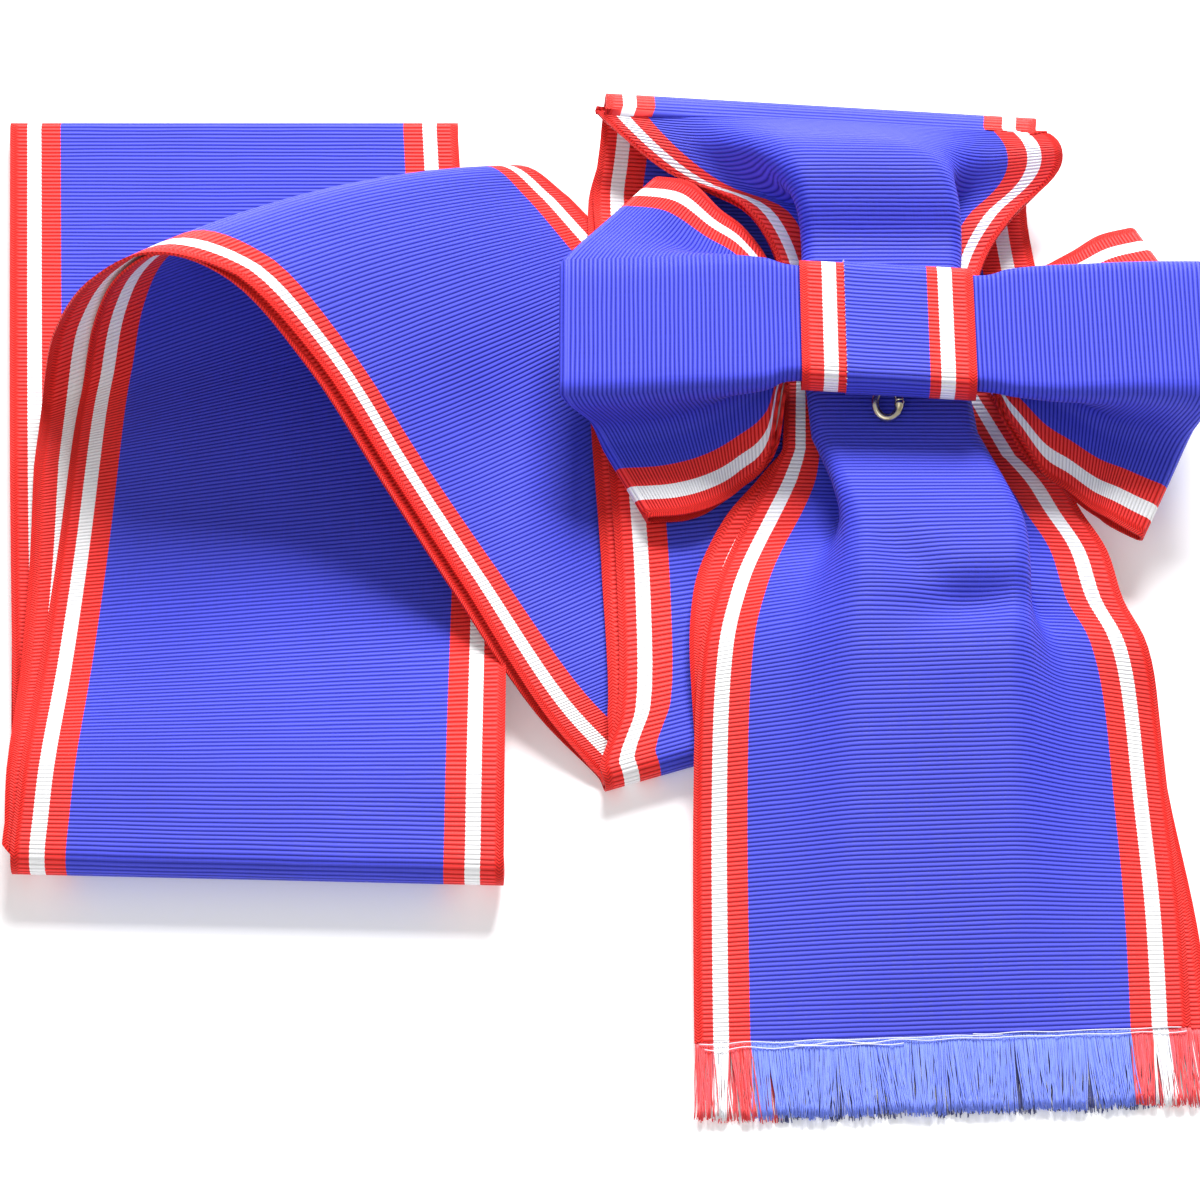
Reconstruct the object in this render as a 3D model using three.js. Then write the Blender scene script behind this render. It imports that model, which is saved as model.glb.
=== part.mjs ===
// Sash of an order: a doubled loop of ribbed ribbon, folded and lying flat, with its bow, tails and ring.
import * as THREE from 'three';

// Driving sizes, in millimetres.
const ribbonWidth = 100;
const ribbonWall = 1;
const plyGap = 0.3;
const stackLength = 180;
const archHeight = 54;
const topFoldHeight = 32;
const waistHeight = 17.5;
const sashPanel = 35;
const sashPleat = 11;
const sashCrease = 2;
const flapLength = 60;
const tailLength = 130;
const fringeLength = 18;
const fringeHead = 3;
const knotWidth = 36.6;
const bowReach = 69.5;
const bowPanel = 33;
const bowPleat = 14;
const bowCrease = 2.2;
const bowGap = 1.3;
const knotWall = 1;
const knotCorner = 4;
const pinchedHem = 1.7;
const ringWidth = 6.4;
const ringLength = 8;
const ringWire = 1.25;
const ringLatch = 0.35;
const eyeWidth = 3.6;
const eyeLength = 4.2;
const eyeWire = 0.8;
const lockGap = 0.6;
const clearance = 0.35;
const foldGuard = 5;
const placeTolerance = 0.001;

// The knot's middle, in shares of the ribbon's width across and the stack's length along.
const knotX = 0.606 * ribbonWidth;
const knotY = 0.274 * stackLength;

// Heights that follow from the walls.
const halfRibbon = ribbonWidth / 2;
const halfWall = ribbonWall / 2;
const plyOffset = (ribbonWall + plyGap) / 2;
const layerPitch = 2 * (ribbonWall + plyGap);
const firstLayer = ribbonWall + plyGap / 2;
const sashTop = waistHeight + plyOffset + halfWall;
const bowDrop = 4 * bowCrease;
const bowFace = sashTop + 2 * clearance + knotWall + halfWall + bowGap + bowDrop;

// The sash's long mid-surface, from the loop's end to the pinched waist. Each row joins the two selvages.
// lx and rx are shares of ribbonWidth, ly and ry of stackLength, lz and rz of the height that a table names.
// layer counts the doubled plies below, crown and lean bow the middle up and back, sag is the power by
// which the rise falls away from the selvages, and slip slides the inner ply along the row. fold puts a
// hairpin after the row, reaching out by so many half rises.
const stackRows = [
  { lx: -1.21, ly: -0.322, lz: 0, rx: -0.21, ry: -0.322, rz: 0, layer: 0, slip: 0 },
  { lx: -1.262, ly: 0.167, lz: 0, rx: -0.262, ry: 0.167, rz: 0, layer: 0, slip: 0 },
  { lx: -1.318, ly: 0.645, lz: 0, rx: -0.318, ry: 0.645, rz: 0, layer: 0, slip: 0, fold: 1 },
  { lx: -1.318, ly: 0.645, lz: 0, rx: -0.318, ry: 0.645, rz: 0, layer: 1, slip: 0 },
  { lx: -1.262, ly: 0.15, lz: 0, rx: -0.262, ry: 0.15, rz: 0, layer: 1, slip: 0 },
  { lx: -1.196, ly: -0.339, lz: 0, rx: -0.195, ry: -0.353, rz: 0, layer: 1, slip: 0, fold: -1.15 },
  { lx: -1.196, ly: -0.339, lz: 0.08, rx: -0.195, ry: -0.353, rz: 0.08, layer: 2, slip: -0.02 },
  { lx: -1.185, ly: -0.25, lz: 0.11, rx: -0.195, ry: -0.25, rz: 0.11, layer: 2, slip: -0.03 },
  { lx: -1.165, ly: -0.12, lz: 0.05, rx: -0.195, ry: -0.08, rz: 0.035, layer: 2, slip: -0.04 },
  { lx: -1.145, ly: 0.04, lz: 0.01, rx: -0.193, ry: 0.1, rz: 0.01, layer: 2, slip: -0.06 },
  { lx: -1.13, ly: 0.165, lz: 0.03, rx: -0.192, ry: 0.28, rz: 0.01, layer: 2, slip: -0.08 },
];
const archRows = [
  { lx: -1.117, ly: 0.255, lz: 0.12, rx: -0.19, ry: 0.45, rz: 0.13, layer: 0, crown: 0.02, lean: 0, slip: -0.09 },
  { lx: -1.08, ly: 0.3, lz: 0.42, rx: -0.187, ry: 0.53, rz: 0.14, layer: 0, crown: 0.03, lean: 0.01, slip: -0.09 },
  { lx: -1.01, ly: 0.31, lz: 0.74, rx: -0.17, ry: 0.565, rz: 0.14, layer: 0, crown: 0.04, lean: 0.02, slip: -0.07 },
  { lx: -0.9, ly: 0.3, lz: 0.96, rx: -0.14, ry: 0.572, rz: 0.12, layer: 0, crown: 0.05, lean: 0.02, slip: -0.03 },
  { lx: -0.76, ly: 0.27, lz: 0.92, rx: -0.08, ry: 0.54, rz: 0.06, layer: 0, crown: 0.05, lean: 0.01, slip: 0.01 },
  { lx: -0.6, ly: 0.19, lz: 0.7, rx: 0.03, ry: 0.47, rz: 0.015, layer: 0, crown: 0.02, lean: 0, slip: 0.02 },
  { lx: -0.45, ly: 0.08, lz: 0.47, rx: 0.2, ry: 0.37, rz: 0.01, layer: 0, sag: 1.8, slip: 0.02 },
  { lx: -0.3, ly: -0.035, lz: 0.275, rx: 0.42, ry: 0.24, rz: 0.005, layer: 0, sag: 2.4, slip: 0.02 },
  { lx: -0.13, ly: -0.165, lz: 0.1, rx: 0.7, ry: 0.07, rz: 0.001, layer: 0, sag: 2.4, slip: 0.01 },
  { lx: 0.0, ly: -0.234, lz: 0, rx: 1.01, ry: -0.059, rz: 0, layer: 0, slip: 0, fold: -1.1 },
];
const returnRows = [
  { lx: 0.0, ly: -0.234, lz: 0.1, rx: 1.01, ry: -0.059, rz: 0.1, layer: 1, slip: 0 },
  { lx: 0.035, ly: -0.17, lz: 0.12, rx: 1.02, ry: -0.02, rz: 0.05, layer: 1, sag: 1.5, slip: -0.02 },
  { lx: 0.035, ly: 0.0, lz: 0.125, rx: 1.02, ry: 0.1, rz: -0.045, layer: 1, sag: 1.5, slip: -0.03 },
  { lx: 0.01, ly: 0.22, lz: 0.165, rx: 1.0, ry: 0.28, rz: -0.065, layer: 1, sag: 1.6, slip: -0.03 },
  { lx: 0.0, ly: 0.4, lz: 0.255, rx: 0.965, ry: 0.42, rz: 0.01, layer: 0, sag: 2, slip: -0.02 },
  { lx: -0.015, ly: 0.54, lz: 0.12, rx: 0.945, ry: 0.53, rz: 0.01, layer: 0, sag: 1.5, slip: -0.01 },
  { lx: 0.0, ly: 0.621, lz: 0.1, rx: 0.955, ry: 0.59, rz: 0.08, layer: 0, slip: 0, fold: 1 },
  { lx: 0.012, ly: 0.621, lz: 0.52, rx: 0.96, ry: 0.59, rz: 0.48, layer: 0, slip: 0 },
];

// The pinched waist. x is a share of ribbonWidth off the knot's middle and y of the length that a table
// names, and z is a share of waistHeight's rise off the floor. pleat and flare are the turns of the pleat's
// inner and outer parts, in degrees, left first. sweep draws the selvages along the ribbon, in shares of
// its width, gather narrows the outer part where it is hidden, and slip slides the lower ply's outer part.
const flapRows = [
  { x: -0.115, y: 0.97, z: 1.12, pleat: [50, 36], flare: [0, 4], sweep: [0.02, 0.02], gather: [1, 1], yaw: -4, slip: 0 },
  { x: -0.07, y: 0.84, z: 1.26, pleat: [86, 72], flare: [0, 2], sweep: [0.05, 0.05], gather: [1, 1], yaw: -2, slip: 0 },
  { x: -0.03, y: 0.73, z: 1.3, pleat: [122, 118], flare: [0, 0], sweep: [0.06, 0.05], gather: [1, 1], yaw: 0, slip: 0 },
  { x: 0, y: 0.61, z: 1.22, pleat: [158, 150], flare: [0, 0], sweep: [0.05, 0.04], gather: [0.9, 0.9], yaw: 0, slip: 0 },
  { x: 0.004, y: 0.47, z: 1.1, pleat: [175, 170], flare: [0, 0], sweep: [0.02, 0.02], gather: [0.7, 0.7], yaw: 0, slip: 0 },
  { x: 0, y: 0.3, z: 1.02, pleat: [180, 180], flare: [0, 0], sweep: [0, 0], gather: [0.6, 0.6], yaw: 0, slip: 0 },
  { x: 0, y: 0, z: 1, pleat: [180, 180], flare: [0, 0], sweep: [0, 0], gather: [0.6, 0.6], yaw: 0, slip: 0 },
];
const tailRows = [
  { x: 0.016, y: 0, z: 1.02, pleat: [170, 135], flare: [-2, 0], sweep: [0, 0], gather: [0.7, 0.9], yaw: 0, slip: 0 },
  { x: 0.042, y: -0.05, z: 1.08, pleat: [150, 130], flare: [-3, 0], sweep: [0, 0], gather: [0.9, 1], yaw: 0, slip: -0.02 },
  { x: 0.069, y: -0.11, z: 1.22, pleat: [116, 124], flare: [-4, 0], sweep: [0.01, 0.01], gather: [1, 1], yaw: 0, slip: -0.045 },
  { x: 0.096, y: -0.18, z: 1.3, pleat: [74, 112], flare: [1, 0], sweep: [0.02, 0.02], gather: [1, 1], yaw: 1, slip: -0.055 },
  { x: 0.1, y: -0.26, z: 1.32, pleat: [46, 98], flare: [7, 2], sweep: [0.02, 0.03], gather: [1, 1], yaw: 1, slip: -0.045 },
  { x: 0.09, y: -0.35, z: 1.22, pleat: [26, 65], flare: [11, 4], sweep: [0.02, 0.03], gather: [1, 1], yaw: 2, slip: -0.025 },
  { x: 0.083, y: -0.47, z: 0.97, pleat: [19, 38], flare: [9, 16], sweep: [0.01, 0.02], gather: [1, 1], yaw: 2, slip: -0.005 },
  { x: 0.08, y: -0.63, z: 0.66, pleat: [14, 23], flare: [10, 14], sweep: [0, 0.01], gather: [1, 1], yaw: 2, slip: 0.01 },
  { x: 0.082, y: -0.83, z: 0.3, pleat: [6, 7], flare: [6, 6], sweep: [0, 0], gather: [1, 1], yaw: 2, slip: 0.03 },
  { x: 0.083, y: -1, z: 0, pleat: [0, 0], flare: [0, 0], sweep: [0, 0], gather: [1, 1], yaw: 2, slip: 0.045 },
];

// Dents in the tail below the pinch. x is a share of ribbonWidth off the knot's middle and y of tailLength off
// its front edge, long and wide are shares of ribbonWidth, turn is in degrees and deep a share of waistHeight.
const tailDents = [
  { x: 0.17, y: -0.32, long: 0.15, wide: 0.05, turn: 8, deep: 0.22 },
  { x: 0.03, y: -0.25, long: 0.1, wide: 0.05, turn: -40, deep: 0.09 },
];

// The bow's upper layer. x is a share of bowReach off the knot's middle, y of ribbonWidth, z of bowFace.
// pleat, flare and sweep are given front side first, and open is how far the lower layer lies under it.
const bowRows = [
  { x: -1, y: 0.002, z: 0.98, pleat: [96, 28], flare: [3, 26], sweep: [0.18, 0.2], gather: [1, 1], squeeze: 1, open: 3 },
  { x: -0.84, y: 0.004, z: 0.99, pleat: [97, 34], flare: [3, 27], sweep: [0.14, 0.16], gather: [1, 1], squeeze: 1, open: 3 },
  { x: -0.66, y: 0.01, z: 1, pleat: [104, 60], flare: [6, 25], sweep: [0.08, 0.1], gather: [1, 0.88], squeeze: 1, open: 2.6 },
  { x: -0.5, y: 0.015, z: 1, pleat: [121, 82], flare: [14, 23], sweep: [0.03, 0.05], gather: [1, 0.85], squeeze: 1, open: 1.8 },
  { x: -0.38, y: 0.017, z: 1, pleat: [142, 116], flare: [18, 22], sweep: [0.01, 0.02], gather: [0.9, 0.85], squeeze: 0.97, open: 1.5 },
  { x: -0.29, y: 0.018, z: 1, pleat: [180, 180], flare: [0, 0], sweep: [0, 0], gather: [0.1, 0.1], squeeze: 0.89, open: 1.3 },
  { x: 0, y: 0.005, z: 1, pleat: [180, 180], flare: [0, 0], sweep: [0, 0], gather: [0.1, 0.1], squeeze: 0.89, open: 1.3 },
  { x: 0.29, y: -0.008, z: 1, pleat: [180, 180], flare: [0, 0], sweep: [0, 0], gather: [0.1, 0.1], squeeze: 0.89, open: 1.3 },
  { x: 0.39, y: -0.007, z: 1, pleat: [172, 160], flare: [10, 12], sweep: [0, 0], gather: [0.7, 0.75], squeeze: 0.97, open: 1.5 },
  { x: 0.5, y: -0.006, z: 1, pleat: [144, 130], flare: [17, 20], sweep: [0.01, 0.01], gather: [0.95, 0.9], squeeze: 1, open: 1.6 },
  { x: 0.61, y: -0.004, z: 1, pleat: [125, 112], flare: [8, 22], sweep: [0.03, 0.03], gather: [1, 0.9], squeeze: 1, open: 1.8 },
  { x: 0.74, y: 0, z: 1, pleat: [105, 104], flare: [6, 20], sweep: [0.07, 0.07], gather: [1, 0.92], squeeze: 1, open: 2.3 },
  { x: 0.87, y: 0.002, z: 0.99, pleat: [94, 92], flare: [5, 20], sweep: [0.12, 0.1], gather: [1, 1], squeeze: 1, open: 3 },
  { x: 1, y: 0.004, z: 0.97, pleat: [79, 84], flare: [11, 20], sweep: [0.15, 0.12], gather: [1, 1], squeeze: 1, open: 3.2 },
];

// The fringe's locks, left to right. reach is a share of fringeLength, lean and tip are shares of a
// lock's own width: how far its end lies over to the right and how wide it still is there.
const lockRows = [
  { reach: 0.98, lean: -0.1, tip: 0.7 },
  { reach: 1, lean: 0.1, tip: 0.6 },
  { reach: 0.97, lean: 0.05, tip: 0.75 },
  { reach: 1, lean: -0.12, tip: 0.65 },
  { reach: 0.99, lean: 0.08, tip: 0.7 },
  { reach: 0.96, lean: 0.12, tip: 0.6 },
  { reach: 1, lean: -0.05, tip: 0.75 },
  { reach: 0.98, lean: 0.1, tip: 0.65 },
  { reach: 0.99, lean: -0.1, tip: 0.7 },
  { reach: 0.97, lean: 0.06, tip: 0.6 },
  { reach: 1, lean: -0.08, tip: 0.7 },
  { reach: 0.98, lean: 0.1, tip: 0.65 },
  { reach: 0.96, lean: -0.06, tip: 0.75 },
  { reach: 0.99, lean: 0.04, tip: 0.65 },
];

const blue = new THREE.Color(0.2, 0.22, 0.85);
const paleBlue = new THREE.Color(0.4, 0.53, 0.92);
const darkBlue = new THREE.Color(0.1, 0.11, 0.45);
const brass = new THREE.Color(0.72, 0.62, 0.4);

function fabric(colour) {
  return new THREE.MeshStandardMaterial({ color: colour, roughness: 0.75, metalness: 0 });
}

function metal(colour) {
  return new THREE.MeshStandardMaterial({ color: colour, roughness: 0.3, metalness: 1 });
}

// Places across the ribbon, close together at the two creases of each pleat.
function columnsFor(panel, pleat, crease) {
  const first = panel / 2;
  const second = first + pleat;
  const reach = Math.PI * crease / 2;
  const half = [0];
  for (const middle of [first, second]) {
    for (const share of [-1, -1 / 3, 1 / 3, 1]) {
      half.push(middle + share * reach);
    }
  }
  half.push(halfRibbon);
  const mirrored = half.slice(1).reverse().map((place) => -place);
  return [...mirrored, ...half];
}

// How far across and up each place of a pleated section lies, worked out from its turns.
function pleatedSection(columns, shape, panel, pleat, crease) {
  const steps = 200;
  const softness = 16;
  const sides = shape.pleat.map((pleatTurn, side) => {
    const flareTurn = shape.flare[side];
    const spread = crease * THREE.MathUtils.degToRad(pleatTurn) + softness * (1 - pleatTurn / 180) ** 2;
    const across = [0];
    const up = [0];
    for (let step = 0; step < steps; step += 1) {
      const place = (step + 0.5) / steps * halfRibbon;
      const turned = (middle) => THREE.MathUtils.clamp((place - middle) / spread + 0.5, 0, 1);
      const first = turned(panel / 2);
      const second = turned(panel / 2 + pleat);
      const angle = THREE.MathUtils.degToRad(-pleatTurn * first + (pleatTurn - flareTurn) * second);
      const past = place > panel / 2 + pleat + spread / 2 ? shape.gather[side] : 1;
      across.push(across[step] + Math.cos(angle) * halfRibbon / steps * past);
      up.push(up[step] + Math.sin(angle) * halfRibbon / steps * past);
    }
    return { across, up };
  });
  return columns.map((column) => {
    const side = sides[column < 0 ? 0 : 1];
    const index = Math.min(Math.abs(column) / halfRibbon * steps, steps - 1e-6);
    const low = Math.floor(index);
    const mix = index - low;
    const across = side.across[low] * (1 - mix) + side.across[low + 1] * mix;
    const up = side.up[low] * (1 - mix) + side.up[low + 1] * mix;
    const sweep = shape.sweep[column < 0 ? 0 : 1];
    const swept = sweep * Math.max(0, (Math.abs(column) - panel / 2) / (halfRibbon - panel / 2));
    return { across: Math.sign(column) * across * (shape.squeeze ?? 1), up, swept: swept * ribbonWidth };
  });
}

// Rows between the rows of a table, every value on a spline of its own.
function blendedRows(rows, steps) {
  const spans = rows.length - 1;
  const between = (values, place) => {
    const span = Math.min(Math.floor(place), spans - 1);
    const pick = (index) => values[THREE.MathUtils.clamp(index, 0, spans)];
    const mix = place - span;
    const start = (pick(span + 1) - pick(span - 1)) / 2;
    const end = (pick(span + 2) - pick(span)) / 2;
    const square = mix * mix;
    const cube = square * mix;
    return pick(span) * (2 * cube - 3 * square + 1) + start * (cube - 2 * square + mix)
      + pick(span + 1) * (3 * square - 2 * cube) + end * (cube - square);
  };
  return Array.from({ length: spans * steps + 1 }, (unused, index) => {
    const place = index / steps;
    const blended = {};
    for (const key of Object.keys(rows[0])) {
      const values = rows.map((row) => row[key]);
      blended[key] = Array.isArray(values[0])
        ? values[0].map((first, side) => between(values.map((pair) => pair[side]), place))
        : between(values, place);
    }
    return blended;
  });
}

// One section of a laid stretch, straight from selvage to selvage but for its crown.
function laidSection(row, columns, height) {
  const base = firstLayer + row.layer * layerPitch;
  const left = new THREE.Vector3(row.lx * ribbonWidth, row.ly * stackLength, 0);
  const right = new THREE.Vector3(row.rx * ribbonWidth, row.ry * stackLength, 0);
  return columns.map((column) => {
    const share = (column / halfRibbon + 1) / 2;
    const rounded = 4 * share * (1 - share);
    const sag = row.sag ?? 1;
    const rise = row.lz * (1 - share) ** sag + row.rz * share ** sag + rounded * (row.crown ?? 0);
    const point = left.clone().lerp(right, share);
    point.y += rounded * (row.lean ?? 0) * stackLength;
    point.z = base + rise * height;
    return point;
  });
}

// One section of the pinched stretch between the knot and a flat end.
function waistSection(row, columns, length, travel) {
  const shape = pleatedSection(columns, row, sashPanel, sashPleat, sashCrease);
  const yaw = THREE.MathUtils.degToRad(row.yaw);
  const rise = firstLayer + row.z * (waistHeight - firstLayer);
  return shape.map(({ across, up, swept }) => {
    const x = knotX + row.x * ribbonWidth + across * Math.cos(yaw);
    const y = knotY + row.y * length + across * Math.sin(yaw) + travel * swept;
    return new THREE.Vector3(x, y, rise + up - dentAt(x, y));
  });
}

// How deep the tail's dents are at a place.
function dentAt(x, y) {
  return tailDents.reduce((depth, dent) => {
    const turn = THREE.MathUtils.degToRad(dent.turn);
    const right = x - knotX - dent.x * ribbonWidth;
    const back = y - knotY + knotWidth / 2 - dent.y * tailLength;
    const along = (right * Math.cos(turn) + back * Math.sin(turn)) / (dent.long * ribbonWidth);
    const aside = (back * Math.cos(turn) - right * Math.sin(turn)) / (dent.wide * ribbonWidth);
    return depth + dent.deep * waistHeight * Math.exp(-(along ** 2) - aside ** 2);
  }, 0);
}

// The rows of a hairpin between two sections, one above the other, bulging out level.
function hairpin(lower, upper, reach) {
  const count = 4;
  const last = lower.length - 1;
  const along = lower[last].clone().sub(lower[0]).setZ(0).normalize();
  const out = new THREE.Vector3(-along.y, along.x, 0);
  const rows = [];
  for (let step = 1; step <= count; step += 1) {
    const turn = Math.PI * step / (count + 1);
    rows.push(lower.map((low, index) => {
      const middle = low.clone().lerp(upper[index], 0.5);
      const rise = upper[index].clone().sub(low).multiplyScalar(0.5);
      middle.addScaledVector(rise, -Math.cos(turn));
      return middle.addScaledVector(out, Math.sin(turn) * reach * rise.length());
    }));
  }
  return rows;
}

// A section beside a fold, a short way towards the next row, which keeps the stretch straight up to the fold.
function towards(section, next) {
  const middle = (section.length - 1) / 2;
  const share = foldGuard / section[middle].distanceTo(next[middle]);
  return section.map((point, index) => point.clone().lerp(next[index], share));
}

// A smooth surface through sections: a spline for each column, cut into steps between rows.
function smoothRows(sections, steps) {
  const rows = [];
  const curves = sections[0].map((point, column) => new THREE.CatmullRomCurve3(
    sections.map((section) => section[column]), false, 'centripetal',
  ));
  const spans = sections.length - 1;
  for (let span = 0; span < spans; span += 1) {
    for (let step = 0; step < steps[span]; step += 1) {
      rows.push(curves.map((curve) => curve.getPoint((span + step / steps[span]) / spans)));
    }
  }
  rows.push(sections[spans].map((point) => point.clone()));
  return rows;
}

// The direction that each point of a surface faces, from its neighbours.
function facings(rows) {
  return rows.map((row, station) => row.map((point, column) => {
    const before = rows[Math.max(station - 1, 0)][column];
    const after = rows[Math.min(station + 1, rows.length - 1)][column];
    const left = row[Math.max(column - 1, 0)];
    const right = row[Math.min(column + 1, row.length - 1)];
    const across = right.clone().sub(left).normalize();
    return across.cross(after.clone().sub(before).normalize()).normalize();
  }));
}

// A ribbon's solid: walls both sides of a run of stations, each with its own choice of columns. Between
// two stations the one further along the surface steps first, so plies over each other crease alike.
function ribbonGeometry(stations, closed) {
  const positions = [];
  const triangles = [];
  const rings = stations.map(({ row, points }) => ({
    row,
    points: points.map(({ point, facing, place }) => {
      const start = positions.length / 3;
      positions.push(...point.clone().addScaledVector(facing, halfWall).toArray());
      positions.push(...point.clone().addScaledVector(facing, -halfWall).toArray());
      return { start, place };
    }),
  }));
  const quad = (a, b, c, d) => triangles.push(a, b, c, a, c, d);
  const joins = closed ? rings.length : rings.length - 1;
  for (let index = 0; index < joins; index += 1) {
    const { row: nearRow, points: near } = rings[index];
    const { row: farRow, points: far } = rings[(index + 1) % rings.length];
    const nearLast = near.length - 1;
    const farLast = far.length - 1;
    let a = 0;
    let b = 0;
    while (a < nearLast || b < farLast) {
      const ahead = a < nearLast && b < farLast ? near[a + 1].place - far[b + 1].place : 0;
      const level = Math.abs(ahead) < placeTolerance;
      const stepNear = b === farLast || (a < nearLast && (level ? nearRow > farRow : ahead < 0));
      if (stepNear) {
        triangles.push(near[a].start, near[a + 1].start, far[b].start);
        triangles.push(near[a + 1].start + 1, near[a].start + 1, far[b].start + 1);
        a += 1;
      } else {
        triangles.push(near[a].start, far[b + 1].start, far[b].start);
        triangles.push(far[b + 1].start + 1, near[a].start + 1, far[b].start + 1);
        b += 1;
      }
    }
    const nearEnd = near[nearLast].start;
    const farEnd = far[farLast].start;
    quad(near[0].start, far[0].start, far[0].start + 1, near[0].start + 1);
    quad(farEnd, nearEnd, nearEnd + 1, farEnd + 1);
  }
  if (!closed) {
    const first = rings[0].points;
    const last = rings[rings.length - 1].points;
    for (let column = 0; column < first.length - 1; column += 1) {
      quad(first[column + 1].start, first[column].start, first[column].start + 1, first[column + 1].start + 1);
    }
    for (let column = 0; column < last.length - 1; column += 1) {
      quad(last[column].start, last[column + 1].start, last[column + 1].start + 1, last[column].start + 1);
    }
  }
  const geometry = new THREE.BufferGeometry();
  geometry.setAttribute('position', new THREE.Float32BufferAttribute(positions, 3));
  geometry.setIndex(triangles);
  return outward(geometry);
}

// Turns every face of a closed shape to point out.
function outward(geometry) {
  const position = geometry.getAttribute('position');
  const index = geometry.getIndex().array;
  const corner = [new THREE.Vector3(), new THREE.Vector3(), new THREE.Vector3()];
  let volume = 0;
  for (let start = 0; start < index.length; start += 3) {
    corner.forEach((point, place) => point.fromBufferAttribute(position, index[start + place]));
    volume += corner[0].dot(corner[1].clone().cross(corner[2]));
  }
  if (volume < 0) {
    for (let start = 0; start < index.length; start += 3) {
      [index[start + 1], index[start + 2]] = [index[start + 2], index[start + 1]];
    }
  }
  geometry.computeVertexNormals();
  return geometry;
}

function pieceMesh(name, geometry, material) {
  const mesh = new THREE.Mesh(geometry, material);
  mesh.name = name;
  return mesh;
}

// The sash's mid-surface: rows, with the slip of the inner ply and whether the row is flat.
function sashSurface(columns) {
  const sections = [];
  const slips = [];
  const steps = [];
  const flats = [];
  const add = (section, slip, step, flat) => {
    sections.push(section);
    slips.push(slip * ribbonWidth);
    steps.push(step);
    flats.push(flat);
  };
  const addLaid = (rows, height, step) => rows.forEach((row, index) => {
    const section = laidSection(row, columns, height);
    const next = rows[index + 1];
    const after = next && (rows[index - 1]?.fold || (rows === returnRows && index === 0));
    if (!row.fold) {
      add(section, row.slip, after ? 1 : step, true);
      if (after) {
        add(towards(section, laidSection(next, columns, height)), row.slip, step, true);
      }
      return;
    }
    const upper = laidSection(next ?? returnRows[0], columns, next ? height : topFoldHeight);
    add(towards(section, laidSection(rows[index - 1], columns, height)), row.slip, 1, true);
    add(section, row.slip, 1, true);
    hairpin(section, upper, row.fold).forEach((bend) => add(bend, row.slip, 1, true));
  });
  addLaid(stackRows, archHeight, 2);
  addLaid(archRows, archHeight, 2);
  addLaid(returnRows, topFoldHeight, 2);
  const laid = sections.length;
  blendedRows(flapRows, 2).forEach((row) => add(waistSection(row, columns, flapLength, 1), row.slip, 1, false));
  blendedRows(tailRows, 2).forEach((row) => {
    const flat = row.pleat[0] < 1;
    const knotEdge = { ...row, y: row.y - knotWidth / 2 / tailLength };
    add(waistSection(knotEdge, columns, tailLength, -1), row.slip, 1, flat);
  });
  const rows = smoothRows(sections, steps);
  const marks = [];
  steps.slice(0, -1).forEach((count, span) => {
    for (let step = 0; step < count; step += 1) {
      const mix = step / count;
      const slip = slips[span] * (1 - mix) + slips[span + 1] * mix;
      marks.push({ slip, flat: flats[span] && flats[span + 1], slipping: span < laid ? -1 : 1 });
    }
  });
  marks.push({ slip: slips[slips.length - 1], flat: true, slipping: 1 });
  return { rows, marks };
}

const sashColumns = columnsFor(sashPanel, sashPleat, sashCrease);
const flatColumns = [0, 2, 6, 9, 12, 16, 18];

// How freely the lower ply slides at a place across the ribbon: all of it past the pleat.
function looseness(place) {
  const free = sashPanel / 2 + sashPleat + Math.PI * sashCrease / 2;
  return THREE.MathUtils.clamp((Math.abs(place) - free) / (halfRibbon - free), 0, 1);
}

// Both plies of the sash as one run: out along the upper ply, round the loop's end and back.
function sashStations() {
  const { rows, marks } = sashSurface(sashColumns);
  const faces = facings(rows);
  const station = (row, side, turn = 0, along = null) => {
    const chosen = marks[row].flat ? flatColumns : sashColumns.map((place, column) => column);
    const last = sashColumns.length - 1;
    const points = chosen.map((column) => {
      const facing = faces[row][column].clone().multiplyScalar(side * Math.cos(turn));
      if (along) {
        facing.addScaledVector(along, Math.sin(turn)).normalize();
      }
      const point = rows[row][column].clone().addScaledVector(facing, plyOffset);
      if (side === marks[row].slipping) {
        const loose = looseness(sashColumns[column]);
        const right = rows[row][Math.min(column + 1, last)];
        const across = right.clone().sub(rows[row][Math.max(column - 1, 0)]).normalize();
        point.addScaledVector(across, marks[row].slip * loose);
      }
      return { point, facing, place: sashColumns[column] };
    });
    return { row, points };
  };
  const stations = [];
  for (let row = rows.length - 1; row >= 0; row -= 1) {
    stations.push(station(row, 1));
  }
  const back = rows[0][0].clone().sub(rows[1][0]).normalize();
  for (const turn of [Math.PI / 6, Math.PI / 3]) {
    stations.push(station(0, 1, turn, back));
  }
  for (const turn of [Math.PI / 2, Math.PI / 3, Math.PI / 6]) {
    stations.push(station(0, -1, turn, back));
  }
  for (let row = 0; row < rows.length; row += 1) {
    stations.push(station(row, -1));
  }
  return { stations, rows, faces };
}

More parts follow.
